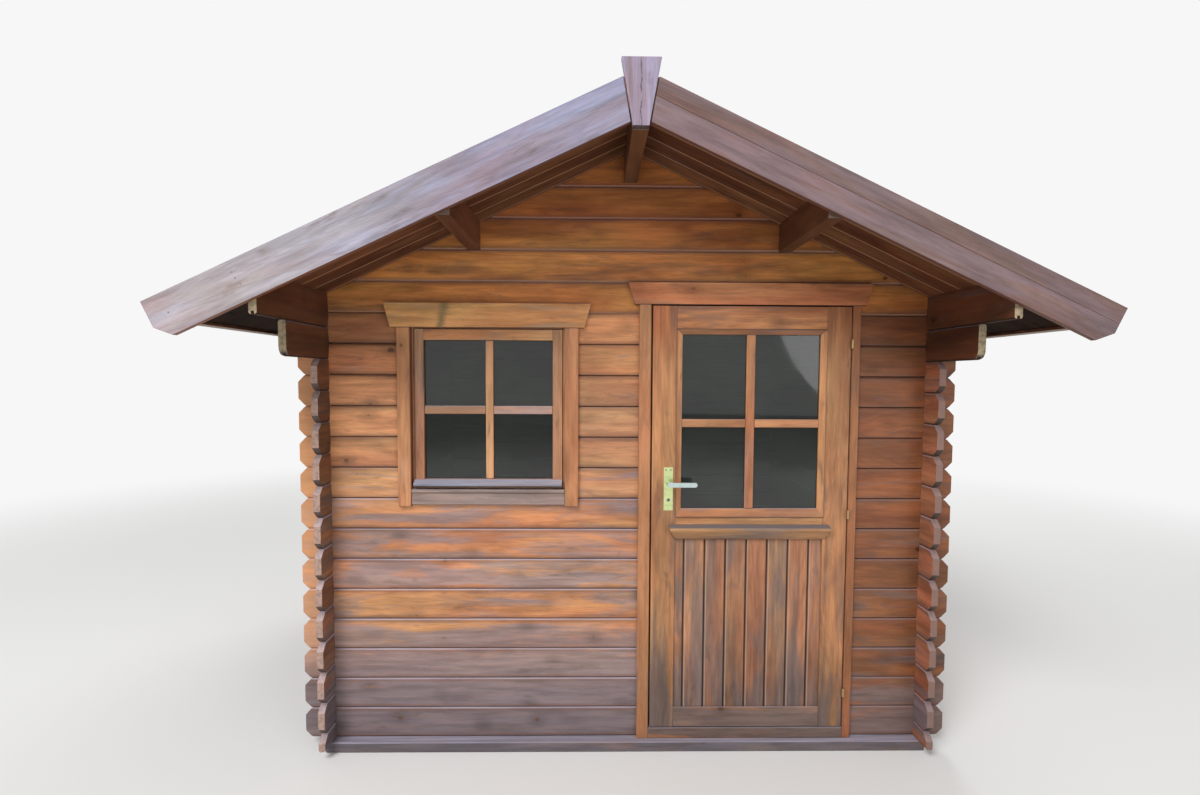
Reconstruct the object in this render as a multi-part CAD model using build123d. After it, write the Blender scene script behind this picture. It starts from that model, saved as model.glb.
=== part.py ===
from build123d import *
import math
import os

# A small garden shed of interlocking planks ("logs") with a gabled roof.
# +X is to the right seen from the front, +Y runs from the front to the back, +Z is up.
# The origin is on the ground, under the middle of the whole shed. All sizes are in millimetres.

# Walls
log_height = 128.0
log_thickness = 28.0
groove_height = 6.0
groove_depth = 5.0
room_width = 2464.0
room_depth = 1984.0
log_end = 100.0
log_end_cut_length = 28.0
log_end_cut_height = 30.0
window_sill_log_count = 8
window_top_log_count = 14
gable_log_count = 15
corbel_log_count = 12
corbel_reach = 320.0
corbel_round = 34.0
tongue_slot_width = 9.0
tongue_slot_depth = 10.0

# Foundation and floor
beam_height = 42.0
beam_width = 98.0
beam_in_front = 42.0
joist_count = 3
joist_width = 60.0
floor_thickness = 19.0
floor_gap = 4.0

# Roof
roof_pitch = 25.0
eave_overhang = 287.0
roof_board_thickness = 19.0
front_overhang = 490.0
back_overhang = 200.0
purlin_width = 54.0
ridge_purlin_height = 124.0
side_purlin_height = 99.0
side_purlin_offset = 637.0
felt_thickness = 3.0
felt_lap_from_ridge = 724.0
felt_lap = 80.0
felt_ridge_gap = 20.0
ridge_strip_reach = 150.0
fascia_thickness = 16.0
fascia_drop = 10.0
barge_width = 138.0
barge_thickness = 20.0
barge_upstand = 33.0
barge_past_fascia = 4.0
barge_corner_cut = 47.0
barge_strip_width = 58.0
keystone_thickness = 24.0
keystone_gap = 4.0
keystone_top_width = 128.0
keystone_bottom_width = 52.0
keystone_height = 212.0
keystone_rise = 31.0

# Window, measured from its own middle line
window_middle = -580.0
window_opening_width = 650.0
window_post_width = 18.0
window_foot_height = 43.0
window_head_height = 64.0
sash_gap = 2.0
sash_thickness = 36.0
sash_proud = 6.0
sash_stile = 40.0
sash_top_rail = 46.0
sash_bottom_rail = 38.0
window_frame_depth = 50.0
window_stop = 10.0
weather_bar_reach = 26.0
weather_bar_height = 30.0
weather_bar_front = 9.0
moulding_chamfer = 6.0
casing_width = 56.0
casing_thickness = 18.0
casing_below_opening = 30.0
casing_reveal = 10.0
top_casing_drop = 61.0
top_casing_height = 100.0
top_casing_overlap = 25.0
top_casing_flare = 27.0
top_casing_thickness = 20.0
bottom_board_rise = 28.0
bottom_board_drop = 23.0
sill_nose_height = 14.0
sill_nose_thickness = 24.0

# Door frame
door_left = 96.0
door_width = 816.0
threshold_height = 46.0
doorway_notch = 71.0
lock_side_gap = 7.0
door_gap = 5.0
lock_jamb_face = 49.0
hinge_jamb_face = 34.0
jamb_lip = 20.0
frame_proud = 18.0
frame_inside_proud = 18.0
head_height = 34.0
stop_overlap = 7.0
header_height = 90.0
header_thickness = 20.0
header_overlap = 20.0
header_flare = 28.0

# Door leaf
leaf_thickness = 40.0
leaf_recess = 2.0
stile_width = 98.0
top_rail_height = 93.0
lock_rail_height = 94.0
lock_rail_rise = 806.0
bottom_rail_height = 84.0
panel_thickness = 20.0
panel_recess = 8.0
glass_thickness = 4.0
glass_edge = 8.0
glass_recess = 16.0
drip_height = 59.0
drip_reach = 30.0
drip_overlap = 24.0
drip_above_rail_bottom = 6.0
drip_fall = 10.0
drip_nose = 12.0
drip_undercut = 22.0

# Hinges, latch and lever
knuckle_radius = 6.0
knuckle_height = 18.0
hinge_clearance = 0.3
hinge_play = 0.5
hinge_pin_radius = 3.0
hinge_pin_length = 12.0
hinge_bore_room = 2.0
hinge_plate_thickness = 2.0
hinge_plate_depth = 34.0
hinge_from_leaf_end = 152.0
middle_hinge_rise = 914.0
plate_width = 38.0
plate_height = 180.0
plate_thickness = 3.0
plate_below_spindle = 115.0
plate_from_leaf_edge = 50.0
spindle_rise = 1044.0
spindle_radius = 8.0
spindle_clearance = 0.3
spindle_bore = 12.0
lever_stand_off = 42.0
lever_length = 112.0
lever_thickness = 19.0
lever_depth = 12.0
cylinder_below_spindle = 70.0
cylinder_radius = 8.5
cylinder_proud = 4.0

# Worked-out places
slope = math.radians(roof_pitch)
inner_x = room_width / 2
outer_x = inner_x + log_thickness
tip_x = outer_x + log_end
house_depth = room_depth + 2 * log_thickness
total_depth = front_overhang + house_depth + back_overhang + 2 * keystone_thickness
roof_front = -total_depth / 2 + keystone_thickness
roof_back = total_depth / 2 - keystone_thickness
wall_front = roof_front + front_overhang
wall_back = wall_front + house_depth
room_front = wall_front + log_thickness
room_back = wall_back - log_thickness
quarter = log_height / 4


def block(x0, x1, y0, y1, z0, z1):
    """A box between two corners."""
    return Pos(x0, y0, z0) * Box(x1 - x0, y1 - y0, z1 - z0, align=(Align.MIN, Align.MIN, Align.MIN))


def along_x(outline, x0, x1):
    """A closed (y, z) outline drawn out from x0 to x1."""
    face = make_face(Polyline(*[(x0, y, z) for y, z in outline], close=True))
    return extrude(face, amount=x1 - x0, dir=(1, 0, 0))


def along_y(outline, y0, y1):
    """A closed (x, z) outline drawn out from y0 to y1."""
    face = make_face(Polyline(*[(x, y0, z) for x, z in outline], close=True))
    return extrude(face, amount=y1 - y0, dir=(0, 1, 0))


def along_z(outline, z0, z1):
    """A closed (x, y) outline drawn out from z0 to z1."""
    face = make_face(Polyline(*[(x, y, z0) for x, y in outline], close=True))
    return extrude(face, amount=z1 - z0, dir=(0, 0, 1))


def both_sides(make_piece):
    """The same piece made for the left side and for the right side."""
    return Compound([make_piece(-1), make_piece(1)])


def row(count):
    """Height of the joint on top of that many whole logs of the front or back wall."""
    return beam_height + count * log_height


def side_row(count):
    """The same for a side wall, which starts with a half log."""
    return row(count + 0.5)


# The roof lies on the outer top edge of the side walls.
eave_height = side_row(corbel_log_count + 2)
ridge_underside = eave_height + outer_x * math.tan(slope)
roof_board_length = (outer_x + eave_overhang) / math.cos(slope)


def roof_point(distance, rise, side):
    """A point that far down the slope and that far above the roof's underside, as (x, z)."""
    x = distance * math.cos(slope) + rise * math.sin(slope)
    z = ridge_underside - distance * math.sin(slope) + rise * math.cos(slope)
    return (side * x, z)


def ridge_point(rise):
    """The point over the ridge of a plane that far above the roof's underside, as (x, z)."""
    return (0.0, ridge_underside + rise / math.cos(slope))


def roof_layer(side, near, far, low, high, y0, y1):
    """A flat layer of the roof on one side, cut plumb at the ridge where it starts there."""
    start = [ridge_point(high), ridge_point(low)]
    if near > 0:
        start = [roof_point(near, high, side), roof_point(near, low, side)]
    end = [roof_point(far, low, side), roof_point(far, high, side)]
    return along_y(start + end, y0, y1)


def under_roof():
    """Everything below the roof's underside, wide enough to trim a wall."""
    reach = roof_board_length
    low_left = roof_point(reach, 0, -1)
    low_right = roof_point(reach, 0, 1)
    outline = [(low_left[0], 0), low_left, ridge_point(0), low_right, (low_right[0], 0)]
    return along_y(outline, roof_front, roof_back)


# Log walls


def log_stack(start, end, levels):
    """Planks laid on edge between the given joint heights, with a V groove at every joint.

    It runs along x from start to end, and is log_thickness deep from y = 0.
    """
    near = []
    far = []
    for low, high in zip(levels, levels[1:]):
        near += [(groove_depth, low), (0, low + groove_height), (0, high - groove_height)]
        far += [(log_thickness - groove_depth, low), (log_thickness, low + groove_height)]
        far += [(log_thickness, high - groove_height)]
    near.append((groove_depth, levels[-1]))
    far.append((log_thickness - groove_depth, levels[-1]))
    return along_x(near + far[::-1], start, end)


def end_cuts(tip, inward, levels):
    """The V cuts that shape the free end of every log of a stack."""
    cuts = []
    for level in levels:
        outline = [
            (tip - inward, level - log_end_cut_height),
            (tip, level - log_end_cut_height),
            (tip + inward * log_end_cut_length, level),
            (tip, level + log_end_cut_height),
            (tip - inward, level + log_end_cut_height),
        ]
        cuts.append(along_y(outline, 0, log_thickness))
    return cuts


def comb_cuts(column, levels):
    """The notches where the crossing wall's logs pass through, a quarter log each way of a joint."""
    return [
        block(column, column + log_thickness, 0, log_thickness, level - quarter, level + quarter)
        for level in levels
    ]


def log_wall(start, end, levels, columns=(), tips=(), plain_joints=0):
    """A stack of logs with its corner notches and shaped ends, but for its lowest plain joints."""
    cuts = []
    for column in columns:
        cuts += comb_cuts(column, levels[plain_joints:])
    for tip, inward in tips:
        cuts += end_cuts(tip, inward, levels[plain_joints:])
    wall = log_stack(start, end, levels)
    return wall - cuts if cuts else wall


def front_levels(first, last):
    return [row(count) for count in range(first, last + 1)]


left_column = -outer_x
right_column = inner_x
left_tip = (-tip_x, 1)
right_tip = (tip_x, -1)

door_opening_left = door_left - lock_side_gap - lock_jamb_face + jamb_lip
door_opening_right = door_left + door_width + door_gap + hinge_jamb_face - jamb_lip
door_opening_top = row(window_top_log_count) + doorway_notch
head_bottom = door_opening_top - head_height
door_top = head_bottom - door_gap
threshold_top = beam_height + threshold_height
door_bottom = threshold_top + door_gap
window_left = window_middle - window_opening_width / 2
window_right = window_middle + window_opening_width / 2
window_bottom = row(window_sill_log_count)
window_top = row(window_top_log_count)


def purlin(middle, height):
    """A beam under the roof from bargeboard to bargeboard. Its height is taken at its middle."""
    half = purlin_width / 2
    under = ridge_underside - abs(middle) * math.tan(slope)
    return block(middle - half, middle + half, roof_front, roof_back, under - height, ridge_underside)


def purlin_blanks():
    """The three beams before their tops are cut to the roof."""
    side_middles = [-side_purlin_offset, side_purlin_offset]
    blanks = [purlin(middle, side_purlin_height) for middle in side_middles]
    return blanks + [purlin(0.0, ridge_purlin_height)]


def at_front(piece):
    return Pos(0, wall_front, 0) * piece


def front_wall_lower():
    levels = front_levels(0, window_sill_log_count)
    return at_front(log_wall(-tip_x, door_opening_left, levels, [left_column], [left_tip]))


def front_wall_beside_window():
    levels = front_levels(window_sill_log_count, window_top_log_count)
    left = log_wall(-tip_x, window_left, levels, [left_column], [left_tip])
    right = log_wall(window_right, door_opening_left, levels)
    return at_front(Compound([left, right]))


def front_wall_right_of_door():
    levels = front_levels(0, window_top_log_count)
    return at_front(log_wall(door_opening_right, tip_x, levels, [right_column], [right_tip]))


def front_wall_over_door():
    levels = front_levels(window_top_log_count, gable_log_count)
    columns = [left_column, right_column]
    log = log_wall(-tip_x, tip_x, levels, columns, [left_tip, right_tip])
    doorway = block(door_opening_left, door_opening_right, 0, log_thickness, 0, door_opening_top)
    return at_front(log - doorway) & under_roof()


def gable_levels():
    levels = [row(gable_log_count)]
    while levels[-1] < ridge_underside:
        levels.append(levels[-1] + log_height)
    return levels


def front_gable():
    wall = at_front(log_wall(-inner_x, inner_x, gable_levels()))
    return (wall & under_roof()) - purlin_blanks()


def back_wall():
    levels = front_levels(0, gable_log_count) + gable_levels()[1:]
    columns = [left_column, right_column]
    wall = log_wall(-tip_x, tip_x, levels, columns, [left_tip, right_tip])
    return ((Pos(0, room_back, 0) * wall) & under_roof()) - purlin_blanks()


def side_log_wall(side, front_tip, back_tip, levels, shaped_tips, plain_joints=0):
    """A stack of logs of one side wall. Tips are given as y, and the shaped ones get their cuts."""
    columns = [wall_front, room_back]
    wall = log_wall(front_tip, back_tip, levels, columns, shaped_tips, plain_joints)
    right_face = -inner_x if side < 0 else outer_x
    return Pos(right_face, 0, 0) * Rot(0, 0, 90) * wall


front_log_tip = wall_front - log_end
back_log_tip = wall_back + log_end


def side_wall(side):
    """The logs up to the corbel. The half log at the foot lies square on the beams."""
    levels = [beam_height] + [side_row(count) for count in range(corbel_log_count + 1)]
    tips = [(front_log_tip, 1), (back_log_tip, -1)]
    return side_log_wall(side, front_log_tip, back_log_tip, levels, tips, plain_joints=1)


def tongue_slot(side, start, end, level):
    """The slot under a log that reaches out past the log below it."""
    middle = side * (inner_x + log_thickness / 2)
    half = tongue_slot_width / 2
    return block(middle - half, middle + half, start, end, level, level + tongue_slot_depth)


def corbel_log(side):
    tip = wall_front - corbel_reach
    levels = [side_row(corbel_log_count), side_row(corbel_log_count + 1)]
    log = side_log_wall(side, tip, back_log_tip, levels, [(back_log_tip, -1)])
    log -= tongue_slot(side, tip, front_log_tip, levels[0])
    corner = block(-tip_x, tip_x, tip, tip + corbel_round, levels[0], levels[0] + corbel_round)
    centre = Pos(0, tip + corbel_round, levels[0] + corbel_round) * Rot(0, 90, 0)
    return log - (corner - centre * Cylinder(corbel_round, 2 * tip_x))


def eave_log(side):
    """The topmost log, cut to the slope of the roof. It reaches from bargeboard to bargeboard."""
    levels = [side_row(corbel_log_count + 1), side_row(corbel_log_count + 2) + quarter]
    log = side_log_wall(side, roof_front, roof_back, levels, [])
    log -= tongue_slot(side, roof_front, wall_front - corbel_reach, levels[0])
    crossing_log = row(corbel_log_count + 2) + quarter
    above = [
        block(-tip_x, tip_x, y, y + log_thickness, crossing_log, ridge_underside)
        for y in (wall_front, room_back)
    ]
    return (log & under_roof()) - above


# Foundation and floor


def cross_beam(outer, inward):
    inner = outer + inward * beam_width
    return block(-outer_x, outer_x, min(outer, inner), max(outer, inner), 0, beam_height)


def end_beams():
    front = cross_beam(wall_front - beam_in_front, 1)
    back = cross_beam(wall_back + beam_in_front, -1)
    return Compound([front, back])


beam_inside_front = wall_front - beam_in_front + beam_width
beam_inside_back = wall_back + beam_in_front - beam_width


def side_beams_and_joists():
    pieces = []
    for side in (-1, 1):
        ends = sorted((side * outer_x, side * (outer_x - beam_width)))
        pieces.append(block(*ends, beam_inside_front, beam_inside_back, 0, beam_height))
    clear = 2 * (outer_x - beam_width)
    for number in range(1, joist_count + 1):
        middle = -clear / 2 + number * clear / (joist_count + 1)
        half = joist_width / 2
        edges = (middle - half, middle + half)
        pieces.append(block(*edges, beam_inside_front, beam_inside_back, 0, beam_height))
    return Compound(pieces)


def floor_boards():
    """The whole floor, cut out round the threshold and the door posts."""
    x = inner_x - floor_gap
    top = beam_height + floor_thickness
    floor = block(-x, x, room_front + floor_gap, room_back - floor_gap, beam_height, top)
    left = lock_jamb_outer - floor_gap
    right = hinge_jamb_outer + floor_gap
    return floor - block(left, right, room_front, frame_back + floor_gap, beam_height, top)


# Roof


def roof_purlins():
    return Compound([beam & under_roof() for beam in purlin_blanks()])


def roof_boards(side):
    return roof_layer(side, 0, roof_board_length, 0, roof_board_thickness, roof_front, roof_back)


fascia_end = roof_board_length + fascia_thickness
felt_top = roof_board_thickness + felt_thickness


def felt_courses(side):
    """Two courses of roofing felt on one slope, with one lap between them."""
    start = felt_ridge_gap / 2
    sheet = roof_layer(side, start, fascia_end, roof_board_thickness, felt_top, roof_front, roof_back)
    lap_end = felt_lap_from_ridge + felt_lap
    double = felt_top + felt_thickness
    lap = roof_layer(side, felt_lap_from_ridge, lap_end, felt_top, double, roof_front, roof_back)
    return sheet + lap


def ridge_strip():
    """The strip of felt folded over the ridge."""
    top = felt_top + felt_thickness
    outline = [roof_point(ridge_strip_reach, felt_top, -1), roof_point(ridge_strip_reach, top, -1)]
    outline += [ridge_point(top), roof_point(ridge_strip_reach, top, 1)]
    outline += [roof_point(ridge_strip_reach, felt_top, 1), ridge_point(felt_top)]
    return along_y(outline, roof_front, roof_back)


def eave_fascia(side):
    high = roof_board_thickness
    return roof_layer(side, roof_board_length, fascia_end, -fascia_drop, high, roof_front, roof_back)


barge_end = fascia_end + barge_past_fascia
barge_top = felt_top + barge_upstand
barge_bottom = barge_top - barge_width


def keystone_outline(margin):
    """The wedge-shaped plate over the ridge as (x, z), with room of the given margin at its sides."""
    top = ridge_point(barge_top)[1] + keystone_rise
    bottom = top - keystone_height
    wide = keystone_top_width / 2 + margin
    narrow = keystone_bottom_width / 2 + margin
    return [(-wide, top), (wide, top), (narrow, bottom), (-narrow, bottom)]


def keystone_plates():
    front = along_y(keystone_outline(0), roof_front - keystone_thickness, roof_front)
    back = along_y(keystone_outline(0), roof_back, roof_back + keystone_thickness)
    return Compound([front, back])


def barge_part(side, low, high, y0):
    """A bargeboard, or a strip of it between two rises above the roof's underside.

    It is cut along the wedge at the ridge, and square at the eave with its lower corner off.
    """
    outline = [
        ridge_point(barge_top),
        roof_point(barge_end, barge_top, side),
        roof_point(barge_end, barge_bottom + barge_corner_cut, side),
        roof_point(barge_end - barge_corner_cut, barge_bottom, side),
        ridge_point(barge_bottom),
    ]
    y1 = y0 + barge_thickness
    board = along_y(outline, y0, y1) & roof_layer(side, 0, barge_end, low, high, y0, y1)
    return board - along_y(keystone_outline(keystone_gap), y0, y1)


def back_bargeboard(side):
    return barge_part(side, barge_bottom, barge_top, roof_back)


barge_front = roof_front - barge_thickness
strip_bottom = barge_top - barge_strip_width


# Window


sash_bottom = window_bottom + window_foot_height + sash_gap
sash_top = window_top - window_head_height - sash_gap
sash_front = wall_front - sash_proud
sash_back = sash_front + sash_thickness
window_frame_back = wall_front + window_frame_depth
half_opening = window_opening_width / 2
half_sash = half_opening - window_post_width - sash_gap
half_casing = half_sash + casing_reveal
casing_bottom = window_bottom - casing_below_opening
top_casing_bottom = window_top - top_casing_drop
bottom_board_top = window_bottom + bottom_board_rise
bottom_board_bottom = window_bottom - bottom_board_drop


def window_frame_jambs():
    """Rebated posts at the sides of the window. The sash closes against their inner lips."""
    pieces = []
    for side in (-1, 1):
        face = half_sash + sash_gap
        lip = half_sash - window_stop
        outline = [
            (half_opening, wall_front),
            (face, wall_front),
            (face, sash_back),
            (lip, sash_back),
            (lip, window_frame_back),
            (half_opening, window_frame_back),
        ]
        outline = [(window_middle + side * x, y) for x, y in outline]
        pieces.append(along_z(outline, window_bottom, window_top))
    return Compound(pieces)


def window_frame_rails():
    """The rebated head and foot of the window frame, between its posts."""
    reach = half_sash - window_stop
    full = half_sash + sash_gap
    head_face = sash_top + sash_gap
    foot_face = sash_bottom - sash_gap
    pieces = []
    for edge, face, lip in (
        (window_top, head_face, sash_top - window_stop),
        (window_bottom, foot_face, sash_bottom + window_stop),
    ):
        near = sorted((edge, face))
        far = sorted((edge, lip))
        front = block(window_middle - full, window_middle + full, wall_front, sash_back, *near)
        back = block(window_middle - reach, window_middle + reach, sash_back, window_frame_back, *far)
        pieces.append(front + back)
    return Compound(pieces)


sash_glass_front = sash_front + glass_recess
sash_glass_left = window_middle - half_sash + sash_stile - glass_edge
sash_glass_right = window_middle + half_sash - sash_stile + glass_edge


def window_glass():
    low = sash_bottom + sash_bottom_rail - glass_edge
    high = sash_top - sash_top_rail + glass_edge
    back = sash_glass_front + glass_thickness
    return block(sash_glass_left, sash_glass_right, sash_glass_front, back, low, high)


def window_sash_stiles():
    pieces = []
    for side in (-1, 1):
        outer = window_middle + side * half_sash
        edges = sorted((outer, outer - side * sash_stile))
        stile = block(*edges, sash_front, sash_back, sash_bottom, sash_top)
        pieces.append(stile - window_glass())
    return Compound(pieces)


def window_sash_rails():
    """Top rail, and a bottom rail with the weather bar that throws the rain off."""
    left = window_middle - half_sash + sash_stile
    right = window_middle + half_sash - sash_stile
    top = block(left, right, sash_front, sash_back, sash_top - sash_top_rail, sash_top)
    bottom = block(left, right, sash_front, sash_back, sash_bottom, sash_bottom + sash_bottom_rail)
    glass = window_glass()
    return Compound([top - glass, bottom - glass])


def window_weather_bar():
    low = sash_bottom + sash_bottom_rail - weather_bar_height
    high = sash_bottom + sash_bottom_rail
    nose = sash_front - weather_bar_reach
    outline = [
        (sash_front, low),
        (nose + moulding_chamfer, low),
        (nose, low + moulding_chamfer),
        (nose, low + moulding_chamfer + weather_bar_front),
        (sash_front, high),
    ]
    return along_x(outline, window_middle - half_sash, window_middle + half_sash)


def window_side_casings():
    pieces = []
    for side in (-1, 1):
        inner = window_middle + side * half_casing
        edges = sorted((inner, inner + side * casing_width))
        front = wall_front - casing_thickness
        pieces.append(block(*edges, front, wall_front, casing_bottom, top_casing_bottom))
    return Compound(pieces)


def flared_board(middle, half_width, flare, bottom, height, thickness):
    """A board across the top of an opening, wider at its top edge than at its bottom edge."""
    outline = [
        (middle - half_width, bottom),
        (middle + half_width, bottom),
        (middle + half_width + flare, bottom + height),
        (middle - half_width - flare, bottom + height),
    ]
    return along_y(outline, wall_front - thickness, wall_front)


def window_top_casing():
    half = half_casing + casing_width + top_casing_overlap
    return flared_board(
        window_middle, half, top_casing_flare, top_casing_bottom, top_casing_height, top_casing_thickness
    )


def window_bottom_board():
    left = window_middle - half_casing
    right = window_middle + half_casing
    front = wall_front - casing_thickness
    board = block(left, right, front, wall_front, bottom_board_bottom, bottom_board_top)
    nose_top = bottom_board_top + sill_nose_height
    nose = block(left, right, wall_front - sill_nose_thickness, wall_front, bottom_board_top, nose_top)
    return board + nose


# Door frame


leaf_front = wall_front - frame_proud + leaf_recess
leaf_back = leaf_front + leaf_thickness
frame_front = wall_front - frame_proud
frame_back = room_front + frame_inside_proud
stop_front = leaf_back + door_gap
door_right = door_left + door_width
lock_jamb_inner = door_left - lock_side_gap
hinge_jamb_inner = door_right + door_gap
lock_jamb_outer = lock_jamb_inner - lock_jamb_face
hinge_jamb_outer = hinge_jamb_inner + hinge_jamb_face


def jamb(face, outer, inward, stop):
    """A door post that clasps the wall's end, with a stop for the leaf behind it."""
    slot = outer + inward * jamb_lip
    outline = [
        (outer, frame_front),
        (face, frame_front),
        (face, stop_front),
        (stop, stop_front),
        (stop, frame_back),
        (outer, frame_back),
        (outer, room_front),
        (slot, room_front),
        (slot, wall_front),
        (outer, wall_front),
    ]
    return along_z(outline, beam_height, head_bottom)


lock_stop = door_left + stop_overlap
hinge_stop = door_right - stop_overlap


def door_jambs():
    lock_side = jamb(lock_jamb_inner, lock_jamb_outer, 1, lock_stop)
    hinge_side = jamb(hinge_jamb_inner, hinge_jamb_outer, -1, hinge_stop)
    return Compound([lock_side, hinge_side])


def door_head_and_threshold():
    """The beam over the door and the sill under it, each with its stop for the leaf."""
    left = door_opening_left
    right = door_opening_right
    head = block(left, right, wall_front, frame_back, head_bottom, door_opening_top)
    head += block(lock_stop, hinge_stop, stop_front, frame_back, door_top - stop_overlap, head_bottom)
    sill = block(lock_jamb_inner, hinge_jamb_inner, frame_front, frame_back, beam_height, threshold_top)
    stop_top = door_bottom + stop_overlap
    sill += block(lock_stop, hinge_stop, stop_front, frame_back, threshold_top, stop_top)
    sill -= block(lock_jamb_inner, lock_stop, stop_front, frame_back, 0, head_bottom)
    sill -= block(hinge_stop, hinge_jamb_inner, stop_front, frame_back, 0, head_bottom)
    return Compound([head, sill])


def door_header_trim():
    middle = (lock_jamb_outer + hinge_jamb_outer) / 2
    half = (hinge_jamb_outer - lock_jamb_outer) / 2 + header_overlap
    return flared_board(middle, half, header_flare, head_bottom, header_height, header_thickness)


# Door leaf


lock_rail_bottom = door_bottom + lock_rail_rise
lock_rail_top = lock_rail_bottom + lock_rail_height
panel_bottom = door_bottom + bottom_rail_height
glass_top = door_top - top_rail_height
inner_left = door_left + stile_width
inner_right = door_right - stile_width


def door_panel():
    """The boarded panel in the lower half, held in a groove all round."""
    front = leaf_front + panel_recess
    return block(
        inner_left - glass_edge, inner_right + glass_edge, front, front + panel_thickness,
        panel_bottom - glass_edge, lock_rail_bottom + glass_edge,
    )


def door_glass():
    front = leaf_front + glass_recess
    return block(
        inner_left - glass_edge, inner_right + glass_edge, front, front + glass_thickness,
        lock_rail_top - glass_edge, glass_top + glass_edge,
    )


def door_stiles():
    lock_stile = block(door_left, inner_left, leaf_front, leaf_back, door_bottom, door_top)
    hinge_stile = block(inner_right, door_right, leaf_front, leaf_back, door_bottom, door_top)
    bore = across_y(spindle_x, spindle_height, spindle_bore, leaf_front, leaf_back)
    key_bore = across_y(spindle_x, cylinder_height, cylinder_radius, leaf_front, leaf_back)
    lock_stile = lock_stile - door_panel() - door_glass() - bore - key_bore
    hinge_stile = hinge_stile - door_panel() - door_glass()
    return Compound([lock_stile, hinge_stile])


def door_rails():
    pieces = []
    for low, high in (
        (door_bottom, panel_bottom),
        (lock_rail_bottom, lock_rail_top),
        (glass_top, door_top),
    ):
        rail = block(inner_left, inner_right, leaf_front, leaf_back, low, high)
        pieces.append(rail - door_panel() - door_glass())
    return Compound(pieces)


def door_drip_moulding():
    """The moulding under the glass that throws the rain off, undercut in front and at its ends."""
    nose = leaf_front - drip_reach
    low = lock_rail_bottom + drip_above_rail_bottom
    high = low + drip_height
    nose_top = high - drip_fall
    nose_low = nose_top - drip_nose
    left = inner_left - drip_overlap
    right = inner_right + drip_overlap
    profile = [(leaf_front, low), (nose + drip_undercut, low), (nose, nose_low)]
    profile += [(nose, nose_top), (leaf_front, high)]
    face = [(left, high), (left, nose_low), (left + drip_undercut, low)]
    face += [(right - drip_undercut, low), (right, nose_low), (right, high)]
    return along_x(profile, left, right) & along_y(face, nose, leaf_front)


# Hinges


hinge_x = door_right + door_gap / 2
hinge_y = frame_front - hinge_clearance - knuckle_radius
hinge_bore_depth = hinge_pin_length + hinge_bore_room
hinge_heights = [
    door_bottom + hinge_from_leaf_end,
    door_bottom + middle_hinge_rise,
    door_top - hinge_from_leaf_end,
]


def upright(radius, low, high):
    """A vertical cylinder on the hinge line."""
    return Pos(hinge_x, hinge_y, (low + high) / 2) * Cylinder(radius, high - low)


def hinge_plate(face, side, low, high, height):
    """A plate on the edge of the leaf or the post, joined to its own knuckle from low to high."""
    edges = sorted((face, face - side * hinge_plate_thickness))
    full = (height - knuckle_height, height + knuckle_height)
    on_wood = block(*edges, frame_front, frame_front + hinge_plate_depth, *full)
    return on_wood + block(*edges, hinge_y, frame_front, low, high)


def leaf_hinges():
    """The upper halves, with the bores that drop over the pins."""
    pieces = []
    for height in hinge_heights:
        low = height + hinge_play / 2
        high = height + knuckle_height
        half = upright(knuckle_radius, low, high) + hinge_plate(door_right, -1, low, high, height)
        pieces.append(half - upright(hinge_pin_radius + hinge_clearance, low, height + hinge_bore_depth))
    return Compound(pieces)


def frame_hinges():
    """The lower halves, with their pins."""
    pieces = []
    for height in hinge_heights:
        low = height - knuckle_height
        high = height - hinge_play / 2
        half = upright(knuckle_radius, low, high) + hinge_plate(hinge_jamb_inner, 1, low, high, height)
        pieces.append(half + upright(hinge_pin_radius, high, height + hinge_pin_length))
    return Compound(pieces)


# Latch and lever


spindle_x = door_left + plate_from_leaf_edge + plate_width / 2
spindle_height = door_bottom + spindle_rise
cylinder_height = spindle_height - cylinder_below_spindle
plate_bottom = spindle_height - plate_below_spindle


def across_y(x, z, radius, y0, y1):
    """A cylinder along y."""
    return Pos(x, (y0 + y1) / 2, z) * Rot(90, 0, 0) * Cylinder(radius, y1 - y0)


def handle_plates():
    """The plate on each face of the door, with the lock cylinder between them."""
    left = spindle_x - plate_width / 2
    right = spindle_x + plate_width / 2
    top = plate_bottom + plate_height
    outside = block(left, right, leaf_front - plate_thickness, leaf_front, plate_bottom, top)
    inside = block(left, right, leaf_back, leaf_back + plate_thickness, plate_bottom, top)
    front = leaf_front - plate_thickness
    back = leaf_back + plate_thickness
    bore = across_y(spindle_x, spindle_height, spindle_radius + spindle_clearance, front, back)
    reach = plate_thickness + cylinder_proud
    cylinder = across_y(spindle_x, cylinder_height, cylinder_radius, leaf_front - reach, leaf_back + reach)
    return outside + inside + cylinder - bore


def lever_grip(outward):
    """A straight grip with rounded ends, off the door's face on its neck."""
    face = leaf_front if outward < 0 else leaf_back
    near = face + outward * lever_stand_off
    depth = sorted((near, near + outward * lever_depth))
    half = lever_thickness / 2
    tip_middle = spindle_x + lever_length - half
    bar = block(spindle_x, tip_middle, *depth, spindle_height - half, spindle_height + half)
    start = across_y(spindle_x, spindle_height, half, *depth)
    tip = across_y(tip_middle, spindle_height, half, *depth)
    return bar + start + tip


def door_lever():
    spindle = across_y(
        spindle_x, spindle_height, spindle_radius,
        leaf_front - lever_stand_off, leaf_back + lever_stand_off,
    )
    return spindle + lever_grip(-1) + lever_grip(1)


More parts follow.
